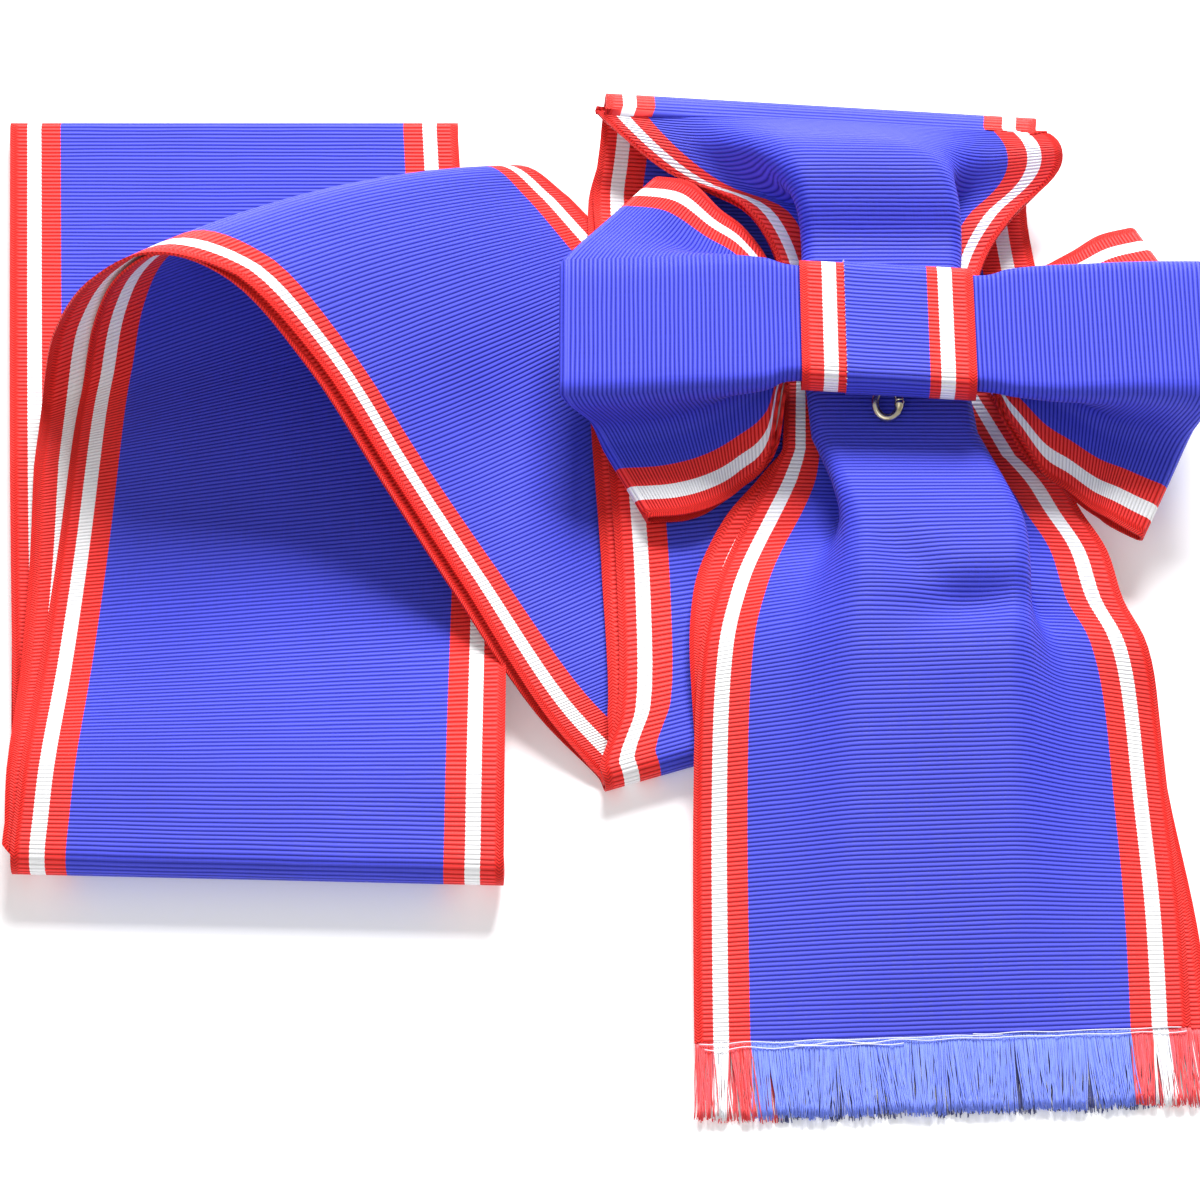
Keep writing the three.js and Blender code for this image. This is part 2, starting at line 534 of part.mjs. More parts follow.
// The bow's ribbon as one closed run: the upper layer, a hairpin, the lower layer and a hairpin.
function bowStations() {
  const columns = columnsFor(bowPanel, bowPleat, bowCrease);
  const blended = blendedRows(bowRows, 1);
  const reach = bowReach - bowRows[0].open / 2 - halfWall;
  const rows = blended.map((row) => (
    pleatedSection(columns, row, bowPanel, bowPleat, bowCrease).map(({ across, up, swept }) => new THREE.Vector3(
      knotX + row.x * reach - Math.sign(row.x) * swept,
      knotY + row.y * ribbonWidth + across,
      row.z * bowFace + up,
    ))
  ));
  const faces = facings(rows).map((row) => row.map((facing) => facing.negate()));
  const openings = blended.map((row) => row.open);
  const layer = (row, turn) => ({ row, points: rows[row].map((upper, column) => {
    const inner = row === 0 ? 1 : row - 1;
    const out = upper.clone().sub(rows[inner][column]).normalize();
    const half = openings[row] / 2;
    const facing = faces[row][column].clone().multiplyScalar(Math.cos(turn));
    facing.addScaledVector(out, Math.sin(turn)).normalize();
    const point = upper.clone().addScaledVector(faces[row][column], -half).addScaledVector(facing, half);
    return { point, facing, place: columns[column] };
  }) });
  const last = rows.length - 1;
  const run = [];
  for (let row = 0; row <= last; row += 1) {
    run.push(layer(row, 0));
  }
  for (const turn of [Math.PI / 4, Math.PI / 2, 3 * Math.PI / 4]) {
    run.push(layer(last, turn));
  }
  for (let row = last; row >= 0; row -= 1) {
    run.push(layer(row, Math.PI));
  }
  for (const turn of [3 * Math.PI / 4, Math.PI / 2, Math.PI / 4]) {
    run.push(layer(0, turn));
  }
  return run;
}

const waistSqueeze = Math.min(...bowRows.map((row) => row.squeeze));
const creaseBend = Math.PI * bowCrease / 2;
const knotAround = halfWall + clearance + knotWall / 2;
const knotWide = (bowPanel / 2 - creaseBend + bowCrease) * waistSqueeze + knotAround;
const knotPinched = (bowPanel / 2 - bowPleat + creaseBend + pinchedHem) * waistSqueeze + knotAround;
const knotLedge = bowFace - 2 * bowCrease - knotAround;

// The band round the bow's waist: wide over the panel, drawn in beneath it, its middle following the bow.
function knotStations() {
  const bottom = sashTop + clearance + knotWall / 2;
  const corners = [
    { across: knotPinched, up: bottom, round: knotCorner / 2 },
    { across: knotPinched, up: knotLedge, round: knotCorner / 4 },
    { across: knotWide, up: knotLedge, round: knotCorner / 2 },
    { across: knotWide, up: bowFace + knotAround, round: knotCorner },
  ];
  const mirrored = corners.map((corner) => ({ ...corner, across: -corner.across })).reverse();
  const outline = roundedOutline([...corners, ...mirrored]);
  return outline.map((point, index) => {
    const before = outline[(index + outline.length - 1) % outline.length];
    const after = outline[(index + 1) % outline.length];
    const along = after.clone().sub(before).normalize();
    const facing = new THREE.Vector3(0, along.y, -along.x);
    const points = [-0.5, 0, 0.5].map((share) => ({
      point: new THREE.Vector3(knotX + share * knotWidth, knotY + point.x + knotSkew(share), point.y),
      facing,
      place: share,
    }));
    return { row: index, points };
  });
}

// A closed outline with every corner rounded off.
function roundedOutline(corners) {
  const shape = new THREE.Shape();
  corners.forEach((corner, index) => {
    const at = new THREE.Vector2(corner.across, corner.up);
    const towardsCorner = (other) => {
      const point = new THREE.Vector2(other.across, other.up);
      return at.clone().add(point.sub(at).setLength(corner.round));
    };
    const start = towardsCorner(corners[(index + corners.length - 1) % corners.length]);
    const end = towardsCorner(corners[(index + 1) % corners.length]);
    if (index === 0) {
      shape.moveTo(start.x, start.y);
    } else {
      shape.lineTo(start.x, start.y);
    }
    shape.quadraticCurveTo(at.x, at.y, end.x, end.y);
  });
  return shape.getPoints(4);
}

// How far the bow's middle lies off the knot's at a share of the knot's width.
function knotSkew(share) {
  const place = share * knotWidth / bowReach;
  const index = bowRows.findIndex((row) => row.x >= place);
  const near = bowRows[index - 1];
  const far = bowRows[index];
  const mix = (place - near.x) / (far.x - near.x);
  return (near.y * (1 - mix) + far.y * mix) * ribbonWidth;
}

// A fringe below one ply of the tails: a strip along its head and the locks that hang from it.
function fringeGeometry(end, across, slip, lift) {
  const pitch = ribbonWidth / lockRows.length;
  const shape = new THREE.Shape();
  shape.moveTo(-halfRibbon, 0);
  lockRows.forEach((lock, index) => {
    const left = -halfRibbon + index * pitch;
    const width = pitch - lockGap;
    const middle = left + width / 2 + lock.lean * width;
    const depth = -lock.reach * fringeLength;
    shape.lineTo(left, -fringeHead);
    shape.lineTo(middle - lock.tip * width / 2, depth);
    shape.lineTo(middle + lock.tip * width / 2, depth);
    shape.lineTo(left + width, -fringeHead);
  });
  shape.lineTo(halfRibbon, -fringeHead);
  shape.lineTo(halfRibbon, 0);
  const geometry = new THREE.ExtrudeGeometry(shape, { depth: ribbonWall, bevelEnabled: false });
  const out = new THREE.Vector3(across.y, -across.x, 0);
  const origin = end.clone().addScaledVector(across, slip).addScaledVector(out, plyGap).setZ(lift);
  const up = new THREE.Vector3(0, 0, 1);
  return geometry.applyMatrix4(new THREE.Matrix4().makeBasis(across, out.negate(), up).setPosition(origin));
}

// An oval wire ring in its own plane, swollen into a latch on its right where one is asked for.
function wireRing(width, length, wire, latch, around) {
  const section = 8;
  const positions = [];
  const triangles = [];
  const reach = new THREE.Vector2(width - wire, length - wire).multiplyScalar(0.5);
  for (let step = 0; step < around; step += 1) {
    const turn = 2 * Math.PI * step / around;
    const out = new THREE.Vector2(reach.y * Math.cos(turn), reach.x * Math.sin(turn)).normalize();
    const thick = wire / 2 * (1 + latch * Math.max(0, Math.cos(turn)) ** 20);
    for (let part = 0; part < section; part += 1) {
      const spin = 2 * Math.PI * part / section;
      const away = thick * Math.cos(spin);
      const x = reach.x * Math.cos(turn) + out.x * away;
      const y = reach.y * Math.sin(turn) + out.y * away;
      positions.push(x, y, thick * Math.sin(spin));
      const next = (part + 1) % section;
      const here = step * section;
      const there = (step + 1) % around * section;
      triangles.push(here + part, there + part, there + next, here + part, there + next, here + next);
    }
  }
  const geometry = new THREE.BufferGeometry();
  geometry.setAttribute('position', new THREE.Float32BufferAttribute(positions, 3));
  geometry.setIndex(triangles);
  return outward(geometry);
}

// Where the eye's middle lies: in the hollow below the band's front edge.
const eyeAt = new THREE.Vector3(
  knotX,
  knotY + knotSkew(0) - knotPinched - knotWall / 2 - clearance - eyeWidth / 2,
  knotLedge - knotWall / 2 - clearance - eyeLength / 2,
);

// The eye stands fore and aft, and the ring leans from it down to the tail.
function eyeGeometry() {
  const upright = new THREE.Matrix4().makeBasis(
    new THREE.Vector3(0, 1, 0), new THREE.Vector3(0, 0, 1), new THREE.Vector3(1, 0, 0),
  );
  return wireRing(eyeWidth, eyeLength, eyeWire, 0, 16).applyMatrix4(upright.setPosition(eyeAt));
}

function ringGeometry() {
  const reach = ringLength - ringWire;
  const fall = eyeAt.z - (sashTop + clearance + ringWire);
  const lean = Math.asin(fall / reach);
  const middle = eyeAt.clone().sub(new THREE.Vector3(0, reach / 2 * Math.cos(lean), fall / 2));
  const tilted = new THREE.Matrix4().makeRotationX(lean).setPosition(middle);
  return wireRing(ringWidth, ringLength, ringWire, ringLatch, 24).applyMatrix4(tilted);
}

const { stations, rows } = sashStations();
const lastRow = rows[rows.length - 1];
const tailEnd = lastRow[(lastRow.length - 1) / 2];
const tailAcross = lastRow[lastRow.length - 1].clone().sub(lastRow[0]).normalize();
const lowerSlip = tailRows[tailRows.length - 1].slip * ribbonWidth;

const pieces = [
  pieceMesh('sash_ribbon', ribbonGeometry(stations, false), fabric(blue)),
  pieceMesh('bow_ribbon', ribbonGeometry(bowStations(), true), fabric(blue)),
  pieceMesh('knot_band', ribbonGeometry(knotStations(), true), fabric(blue)),
  pieceMesh('front_fringe', fringeGeometry(tailEnd, tailAcross, 0, ribbonWall + plyGap), fabric(paleBlue)),
  pieceMesh('back_fringe', fringeGeometry(tailEnd, tailAcross, lowerSlip, 0), fabric(darkBlue)),
  pieceMesh('ring_eye', eyeGeometry(), metal(brass)),
  pieceMesh('badge_ring', ringGeometry(), metal(brass)),
];

// The origin is the middle of the underside of all the pieces together.
const sash = new THREE.Group();
sash.name = 'order_sash';
sash.add(...pieces);
const box = new THREE.Box3().setFromObject(sash);
const middle = box.getCenter(new THREE.Vector3()).setZ(box.min.z);
for (const piece of pieces) {
  piece.geometry.translate(-middle.x, -middle.y, -middle.z);
}

export default sash;
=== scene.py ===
# Sash of an order: a doubled loop of ribbed ribbon, folded and lying flat, with its bow, tails and ring.
import math

import bpy
import numpy as np
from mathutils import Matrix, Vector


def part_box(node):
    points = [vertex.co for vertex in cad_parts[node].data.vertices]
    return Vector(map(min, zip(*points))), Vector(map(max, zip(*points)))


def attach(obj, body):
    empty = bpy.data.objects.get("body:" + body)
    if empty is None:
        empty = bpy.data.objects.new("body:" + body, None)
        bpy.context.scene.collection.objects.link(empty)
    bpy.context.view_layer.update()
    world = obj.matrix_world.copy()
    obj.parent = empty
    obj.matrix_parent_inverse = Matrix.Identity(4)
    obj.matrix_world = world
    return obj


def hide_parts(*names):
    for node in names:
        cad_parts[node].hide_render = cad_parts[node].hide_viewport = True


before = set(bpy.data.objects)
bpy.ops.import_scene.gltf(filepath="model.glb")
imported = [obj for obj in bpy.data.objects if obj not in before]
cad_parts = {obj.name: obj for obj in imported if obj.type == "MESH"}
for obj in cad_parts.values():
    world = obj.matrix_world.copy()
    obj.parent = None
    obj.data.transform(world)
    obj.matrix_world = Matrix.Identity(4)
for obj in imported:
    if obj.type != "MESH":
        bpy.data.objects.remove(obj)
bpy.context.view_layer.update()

# The sash is one long ribbon of ribbed silk doubled into a loop, with stripes woven along both edges. It lies
# folded in the stack, rises in the arch, folds under itself twice, and is pinched by the knot into the flap
# above it and the two tails below it. Nothing is sewn but the knot.

# Sizes in millimetres, the same as the solids have. ORIGIN is where the layout's middle lies in the frame.
ORIGIN = np.array((0.843, -0.291, 0.0))
MM = 0.001
RIBBON_WIDTH = 100
HALF_RIBBON = RIBBON_WIDTH / 2
WALL = 1
PLY_GAP = 0.3
PLY_OFFSET = (WALL + PLY_GAP) / 2
LAYER_PITCH = 2 * (WALL + PLY_GAP)
FIRST_LAYER = WALL + PLY_GAP / 2
STACK_LENGTH = 180
ARCH_HEIGHT = 54
TOP_FOLD_HEIGHT = 32
WAIST_HEIGHT = 17.5
FLAP_LENGTH = 60
TAIL_LENGTH = 130
KNOT_WIDTH = 36.6
KNOT_X = 0.606 * RIBBON_WIDTH
KNOT_Y = 0.274 * STACK_LENGTH
SASH_PANEL, SASH_PLEAT, SASH_CREASE = 35, 11, 2

# How far a crease spreads where its pleat opens out, the cloth's own thickness, the length kept flat beside
# a fold, and the angle past which an edge is drawn sharp.
FLAP_SOFTNESS, TAIL_SOFTNESS = 24, 8
CLOTH = 0.56
FOLD_GUARD = 5
SHARP_ANGLE = 50

# How many places the surface has at and between its creases, and how many rows between those of a table.
PANEL_PLACES, CREASE_PLACES, PLEAT_PLACES, OUTER_PLACES = 7, 9, 3, 9
CREASE_REACH = 3.4
PROFILE_STEPS = 400
STACK_STEPS, ARCH_STEPS, RETURN_STEPS, WAIST_STEPS = 4, 6, 5, 5
GUARD_STEPS, FOLD_STEPS = 2, 3
HAIRPIN_TURNS = 5
END_TURNS = np.linspace(0, math.pi, 9)[1:-1]


def named(columns, table):
    """The rows of a table as records, one value for each column's name."""
    return [dict(zip(columns.split(), row)) for row in table]


# The laid rows. x and y are shares of the ribbon's width and the stack's length, at the left and the right
# selvage, and z of the arch's or the top fold's height. fold puts a hairpin after the row, out by so many
# half rises.
LAID = "lx ly lz rx ry rz layer crown lean sag slip fold"
STACK_ROWS = named(LAID, (
    (-1.21, -0.322, 0, -0.21, -0.322, 0, 0, 0, 0, 1, 0, 0),
    (-1.262, 0.167, 0, -0.262, 0.167, 0, 0, 0, 0, 1, 0, 0),
    (-1.318, 0.645, 0, -0.318, 0.645, 0, 0, 0, 0, 1, 0, 1),
    (-1.318, 0.645, 0, -0.318, 0.645, 0, 1, 0, 0, 1, 0, 0),
    (-1.262, 0.15, 0, -0.262, 0.15, 0, 1, 0, 0, 1, 0, 0),
    (-1.196, -0.339, 0, -0.195, -0.353, 0, 1, 0, 0, 1, 0, -1.15),
    (-1.196, -0.339, 0.08, -0.195, -0.353, 0.08, 2, 0, 0, 1, -0.02, 0),
    (-1.185, -0.25, 0.11, -0.195, -0.25, 0.11, 2, 0, 0, 1, -0.03, 0),
    (-1.165, -0.12, 0.05, -0.195, -0.08, 0.035, 2, 0, 0, 1, -0.04, 0),
    (-1.145, 0.04, 0.01, -0.193, 0.1, 0.01, 2, 0, 0, 1, -0.06, 0),
    (-1.13, 0.165, 0.03, -0.192, 0.28, 0.01, 2, 0, 0, 1, -0.08, 0),
))
ARCH_ROWS = named(LAID, (
    (-1.117, 0.255, 0.12, -0.19, 0.45, 0.13, 0, 0.02, 0, 1, -0.09, 0),
    (-1.08, 0.3, 0.42, -0.187, 0.53, 0.14, 0, 0.03, 0.01, 1, -0.09, 0),
    (-1.01, 0.31, 0.74, -0.17, 0.565, 0.14, 0, 0.04, 0.02, 1, -0.07, 0),
    (-0.9, 0.3, 0.96, -0.14, 0.572, 0.12, 0, 0.05, 0.02, 1, -0.03, 0),
    (-0.76, 0.27, 0.92, -0.08, 0.54, 0.06, 0, 0.05, 0.01, 1, 0.01, 0),
    (-0.6, 0.19, 0.7, 0.03, 0.47, 0.015, 0, 0.02, 0, 1, 0.02, 0),
    (-0.45, 0.08, 0.47, 0.2, 0.37, 0.01, 0, 0, 0, 1.8, 0.02, 0),
    (-0.3, -0.035, 0.275, 0.42, 0.24, 0.005, 0, 0, 0, 2.4, 0.02, 0),
    (-0.13, -0.165, 0.1, 0.7, 0.07, 0.001, 0, 0, 0, 2.4, 0.01, 0),
    (0.0, -0.234, 0, 1.01, -0.059, 0, 0, 0, 0, 1, 0, -1.1),
))
RETURN_ROWS = named(LAID, (
    (0.0, -0.234, 0.1, 1.01, -0.059, 0.1, 1, 0, 0, 1, 0, 0),
    (0.035, -0.17, 0.12, 1.02, -0.02, 0.05, 1, 0, 0, 1.5, -0.02, 0),
    (0.035, 0.0, 0.125, 1.02, 0.1, -0.045, 1, 0, 0, 1.5, -0.03, 0),
    (0.01, 0.22, 0.165, 1.0, 0.28, -0.065, 1, 0, 0, 1.6, -0.03, 0),
    (0.0, 0.4, 0.255, 0.965, 0.42, 0.01, 0, 0, 0, 2, -0.02, 0),
    (-0.015, 0.54, 0.12, 0.945, 0.53, 0.01, 0, 0, 0, 1.5, -0.01, 0),
    (0.0, 0.621, 0.1, 0.955, 0.59, 0.08, 0, 0, 0, 1, 0, 1),
    (0.012, 0.621, 0.52, 0.96, 0.59, 0.48, 0, 0, 0, 1, 0, 0),
))

# The pinched rows of the flap and the tails. pleat and flare are turns in degrees, left then right, yaw is a
# turn of the whole row, and the rest are shares.
WAIST = "x y z pleat0 pleat1 flare0 flare1 sweep0 sweep1 gather0 gather1 yaw slip"
FLAP_ROWS = named(WAIST, (
    (-0.118, 0.97, 1.04, 6, 6, 0, 2, 0.02, 0.02, 1, 1, -3.4, 0),
    (-0.075, 0.84, 1.4, 48, 42, 0, 2, 0.05, 0.05, 1, 1, -2, 0),
    (-0.035, 0.73, 1.48, 90, 84, 0, 0, 0.06, 0.05, 1, 1, 0, 0),
    (-0.005, 0.61, 1.3, 150, 136, 0, 0, 0.05, 0.04, 0.9, 0.9, 0, 0),
    (0.004, 0.47, 1.02, 175, 168, 0, 0, 0.02, 0.02, 0.7, 0.7, 0, 0),
    (0, 0.3, 1.02, 180, 180, 0, 0, 0, 0, 0.6, 0.6, 0, 0),
    (0, 0, 1, 180, 180, 0, 0, 0, 0, 0.6, 0.6, 0, 0),
))
TAIL_ROWS = named(WAIST, (
    (0.016, 0, 1.02, 170, 135, -2, 0, 0, 0, 0.7, 0.9, 0, 0),
    (0.042, -0.05, 1.08, 150, 130, -3, 0, 0, 0, 0.9, 1, 0, -0.02),
    (0.069, -0.11, 1.22, 116, 124, -4, 0, 0.01, 0.01, 1, 1, 0, -0.045),
    (0.096, -0.18, 1.3, 74, 112, 1, 0, 0.02, 0.02, 1, 1, 1, -0.055),
    (0.1, -0.26, 1.32, 46, 98, 7, 2, 0.02, 0.03, 1, 1, 1, -0.045),
    (0.09, -0.35, 1.22, 26, 65, 11, 4, 0.02, 0.03, 1, 1, 2, -0.025),
    (0.083, -0.47, 0.97, 19, 38, 9, 16, 0.01, 0.02, 1, 1, 2, -0.005),
    (0.08, -0.63, 0.66, 14, 23, 10, 14, 0, 0.01, 1, 1, 2, 0.01),
    (0.082, -0.83, 0.3, 6, 7, 6, 6, 0, 0, 1, 1, 2, 0.03),
    (0.083, -1, 0, 0, 0, 0, 0, 0, 0, 1, 1, 2, 0.045),
))

# Dents in the tail below the pinch. x is a share of the ribbon's width off the knot's middle and y of the
# tail's length off its front edge, long and wide are shares of the width, and deep is one of the waist's
# height.
TAIL_DENTS = named("x y long wide turn deep", (
    (0.17, -0.32, 0.15, 0.05, 8, 0.22),
    (0.03, -0.25, 0.1, 0.05, -40, 0.09),
))


def columns_for(panel, pleat):
    """Places across the ribbon, close together at the two creases of each pleat."""
    first, second = panel / 2, panel / 2 + pleat
    half = np.concatenate((
        np.linspace(0, first - CREASE_REACH, PANEL_PLACES)[:-1],
        np.linspace(first - CREASE_REACH, first + CREASE_REACH, CREASE_PLACES)[:-1],
        np.linspace(first + CREASE_REACH, second - CREASE_REACH, PLEAT_PLACES)[:-1],
        np.linspace(second - CREASE_REACH, second + CREASE_REACH, CREASE_PLACES)[:-1],
        np.linspace(second + CREASE_REACH, HALF_RIBBON, OUTER_PLACES),
    ))
    return np.concatenate((-half[:0:-1], half))


def pleated_section(columns, row, panel, pleat, crease, softness):
    """Across, up and swept places of a pleated section, worked out from its turns."""
    middles = (np.arange(PROFILE_STEPS) + 0.5) / PROFILE_STEPS * HALF_RIBBON
    edges = np.linspace(0, HALF_RIBBON, PROFILE_STEPS + 1)
    pitch = HALF_RIBBON / PROFILE_STEPS
    across, up, swept = (np.zeros_like(columns) for _ in range(3))
    for side in (0, 1):
        turn, flare = row[f"pleat{side}"], row[f"flare{side}"]
        bend = crease * math.radians(turn) + softness * (1 - turn / 180) ** 2
        first = np.clip((middles - panel / 2) / bend + 0.5, 0, 1)
        second = np.clip((middles - panel / 2 - pleat) / bend + 0.5, 0, 1)
        angle = np.radians(-turn * first + (turn - flare) * second)
        past = np.where(middles > panel / 2 + pleat + bend / 2, row[f"gather{side}"], 1.0)
        run = np.concatenate(([0], np.cumsum(np.cos(angle) * past) * pitch))
        rise = np.concatenate(([0], np.cumsum(np.sin(angle) * past) * pitch))
        mine = columns < 0 if side == 0 else columns >= 0
        away = np.abs(columns[mine])
        across[mine] = np.sign(columns[mine]) * np.interp(away, edges, run) * row.get("squeeze", 1)
        up[mine] = np.interp(away, edges, rise)
        share = np.maximum(0, (away - panel / 2) / (HALF_RIBBON - panel / 2))
        swept[mine] = row[f"sweep{side}"] * share * RIBBON_WIDTH
    return across, up, swept


def curve_shares(mix):
    """The weights of a spline's two ends and of its two slopes, part way along it."""
    square, cube = mix ** 2, mix ** 3
    return 2 * cube - 3 * square + 1, 3 * square - 2 * cube, cube - 2 * square + mix, cube - square


def blended_rows(rows, steps):
    """Rows between the rows of a table, every value on a spline of its own."""
    keys = list(rows[0])
    values = np.array([[row[key] for key in keys] for row in rows], float)
    spans = len(rows) - 1
    blended = []
    for index in range(spans * steps + 1):
        place = index / steps
        span = min(int(place), spans - 1)
        before, start, end, after = (values[min(max(span + step, 0), spans)] for step in (-1, 0, 1, 2))
        at_start, at_end, out_slope, in_slope = curve_shares(place - span)
        blend = start * at_start + end * at_end
        blend += (end - before) / 2 * out_slope + (after - start) / 2 * in_slope
        blended.append(dict(zip(keys, blend)))
    return blended


def laid_section(row, height, columns):
    """A section of a laid stretch, straight from selvage to selvage but for its crown."""
    share = (columns / HALF_RIBBON + 1) / 2
    rounded = 4 * share * (1 - share)
    rise = row["lz"] * (1 - share) ** row["sag"] + row["rz"] * share ** row["sag"] + rounded * row["crown"]
    return np.stack((
        (row["lx"] * (1 - share) + row["rx"] * share) * RIBBON_WIDTH,
        (row["ly"] * (1 - share) + row["ry"] * share + rounded * row["lean"]) * STACK_LENGTH,
        FIRST_LAYER + row["layer"] * LAYER_PITCH + rise * height,
    ), axis=-1)


def waist_section(row, length, travel, columns, softness):
    """A section of the pinched stretch between the knot and a flat end."""
    across, up, swept = pleated_section(columns, row, SASH_PANEL, SASH_PLEAT, SASH_CREASE, softness)
    yaw = math.radians(row["yaw"])
    x = KNOT_X + row["x"] * RIBBON_WIDTH + across * math.cos(yaw)
    y = KNOT_Y + row["y"] * length + across * math.sin(yaw) + travel * swept
    z = FIRST_LAYER + row["z"] * (WAIST_HEIGHT - FIRST_LAYER) + up
    for dent in TAIL_DENTS:
        turn = math.radians(dent["turn"])
        right = x - KNOT_X - dent["x"] * RIBBON_WIDTH
        back = y - KNOT_Y + KNOT_WIDTH / 2 - dent["y"] * TAIL_LENGTH
        along = (right * math.cos(turn) + back * math.sin(turn)) / (dent["long"] * RIBBON_WIDTH)
        aside = (back * math.cos(turn) - right * math.sin(turn)) / (dent["wide"] * RIBBON_WIDTH)
        z = z - dent["deep"] * WAIST_HEIGHT * np.exp(-along ** 2 - aside ** 2)
    return np.stack((x, y, z), axis=-1)


def hairpin(lower, upper, reach):
    """The rows of a fold between two sections, one above the other, bulging out level."""
    along = (lower[-1] - lower[0]) * (1, 1, 0)
    along /= np.linalg.norm(along)
    out = np.array((-along[1], along[0], 0))
    rise = (upper - lower) / 2
    size = np.linalg.norm(rise, axis=-1, keepdims=True)
    rows = []
    for step in range(1, HAIRPIN_TURNS):
        turn = math.pi * step / HAIRPIN_TURNS
        rows.append((lower + upper) / 2 - rise * math.cos(turn) + out * math.sin(turn) * reach * size)
    return rows


def towards(section, other):
    """The section a fold guard's length from one section on the way to another."""
    middle = len(section) // 2
    share = FOLD_GUARD / np.linalg.norm(section[middle] - other[middle])
    return section + (other - section) * share


def smooth_rows(sections, steps):
    """A smooth surface through sections: a centripetal spline for each column, cut into steps."""
    points = np.array(sections)
    points = np.concatenate(([2 * points[0] - points[1]], points, [2 * points[-1] - points[-2]]))
    gaps = np.maximum(np.linalg.norm(np.diff(points, axis=0), axis=-1, keepdims=True) ** 0.5, 1e-4)
    rows = []
    for span, count in enumerate(steps[:-1]):
        before, first, second, after = points[span:span + 4]
        gap_before, gap, gap_after = gaps[span:span + 3]
        middle = (second - first) / gap
        start = ((first - before) / gap_before - (second - before) / (gap_before + gap) + middle) * gap
        end = (middle - (after - first) / (gap + gap_after) + (after - second) / gap_after) * gap
        for step in range(count):
            at_start, at_end, out_slope, in_slope = curve_shares(step / count)
            rows.append(first * at_start + second * at_end + start * out_slope + end * in_slope)
    rows.append(points[-2])
    return np.array(rows)


def unit(vectors):
    """Vectors cut to a length of one."""
    return vectors / np.maximum(np.linalg.norm(vectors, axis=-1, keepdims=True), 1e-9)


def neighbours_apart(values, axis):
    """The way from each point's neighbour before to its neighbour after."""
    first = np.take(values, [0, *range(values.shape[axis] - 1)], axis)
    last = np.take(values, [*range(1, values.shape[axis]), -1], axis)
    return unit(last - first)


def facings(rows):
    """The way the surface faces at every place of its rows."""
    return unit(np.cross(neighbours_apart(rows, 1), neighbours_apart(rows, 0)))


def sash_surface(columns):
    """The middle surface of the doubled ribbon, how far its plies slip apart, and which ply slips."""
    sections, slips, steps = [], [], []

    def add(section, slip, step):
        sections.append(section)
        slips.append(slip * RIBBON_WIDTH)
        steps.append(step)

    laid = [(row, ARCH_HEIGHT, STACK_STEPS) for row in STACK_ROWS]
    laid += [(row, ARCH_HEIGHT, ARCH_STEPS) for row in ARCH_ROWS]
    laid += [(row, TOP_FOLD_HEIGHT, RETURN_STEPS) for row in RETURN_ROWS]
    for index, (row, height, step) in enumerate(laid):
        section = laid_section(row, height, columns)
        if index + 1 < len(laid):
            following = laid_section(laid[index + 1][0], laid[index + 1][1], columns)
        if row["fold"]:
            before = laid_section(laid[index - 1][0], laid[index - 1][1], columns)
            add(towards(section, before), row["slip"], GUARD_STEPS)
            add(section, row["slip"], FOLD_STEPS)
            for bend in hairpin(section, following, row["fold"]):
                add(bend, row["slip"], FOLD_STEPS)
        elif laid[index - 1][0]["fold"] and index + 1 < len(laid):
            add(section, row["slip"], GUARD_STEPS)
            add(towards(section, following), row["slip"], step)
        else:
            add(section, row["slip"], step)
    turned = sum(steps)
    for row in blended_rows(FLAP_ROWS, WAIST_STEPS):
        add(waist_section(row, FLAP_LENGTH, 1, columns, FLAP_SOFTNESS), row["slip"], 1)
    for row in blended_rows(TAIL_ROWS, WAIST_STEPS):
        from_edge = dict(row, y=row["y"] - KNOT_WIDTH / 2 / TAIL_LENGTH)
        add(waist_section(from_edge, TAIL_LENGTH, -1, columns, TAIL_SOFTNESS), row["slip"], 1)
    rows = smooth_rows(sections, steps)
    starts = np.cumsum([0, *steps[:-1]])
    slip = np.interp(np.arange(len(rows)), starts, slips)
    return rows, slip, np.where(np.arange(len(rows)) < turned, -1, 1)


def sash_run(columns):
    """Both plies as one run: up from the upper tail, round the loop's end and back to the lower tail."""
    rows, slip, slipping = sash_surface(columns)
    faces = facings(rows)
    free = SASH_PANEL / 2 + SASH_PLEAT + math.pi * SASH_CREASE / 2
    loose = np.clip((np.abs(columns) - free) / (HALF_RIBBON - free), 0, 1)
    across = neighbours_apart(rows, 1)
    plies = []
    for side in (1, -1):
        moved = (slipping == side) * slip
        plies.append(rows + faces * side * PLY_OFFSET + across * (moved[:, None] * loose)[..., None])
    back = unit(rows[0, 0] - rows[1, 0])
    turns = [faces[0] * math.cos(turn) + back * math.sin(turn) for turn in END_TURNS]
    points = np.concatenate((plies[0][::-1], [rows[0] + way * PLY_OFFSET for way in turns], plies[1]))
    ways = np.concatenate((faces[::-1], turns, -faces))
    return points, ways, rows


def run_length(points):
    """How far along the run each row lies, by its middle column."""
    middle = points[:, points.shape[1] // 2]
    return np.concatenate(([0], np.cumsum(np.linalg.norm(np.diff(middle, axis=0), axis=-1))))


def mesh_piece(name, vertices, faces, uvs=None, sharpened=True):
    """A smooth-shaded piece in the part's frame, from places in millimetres."""
    mesh = bpy.data.meshes.new(name)
    mesh.from_pydata(((vertices + ORIGIN) * MM).tolist(), [], faces)
    if uvs is not None:
        mesh.uv_layers.new(name="cloth").data.foreach_set("uv", uvs.ravel())
    mesh.shade_smooth()
    if sharpened:
        mesh.set_sharp_from_angle(angle=math.radians(SHARP_ANGLE))
    piece = bpy.data.objects.new(name, mesh)
    bpy.context.scene.collection.objects.link(piece)
    return piece


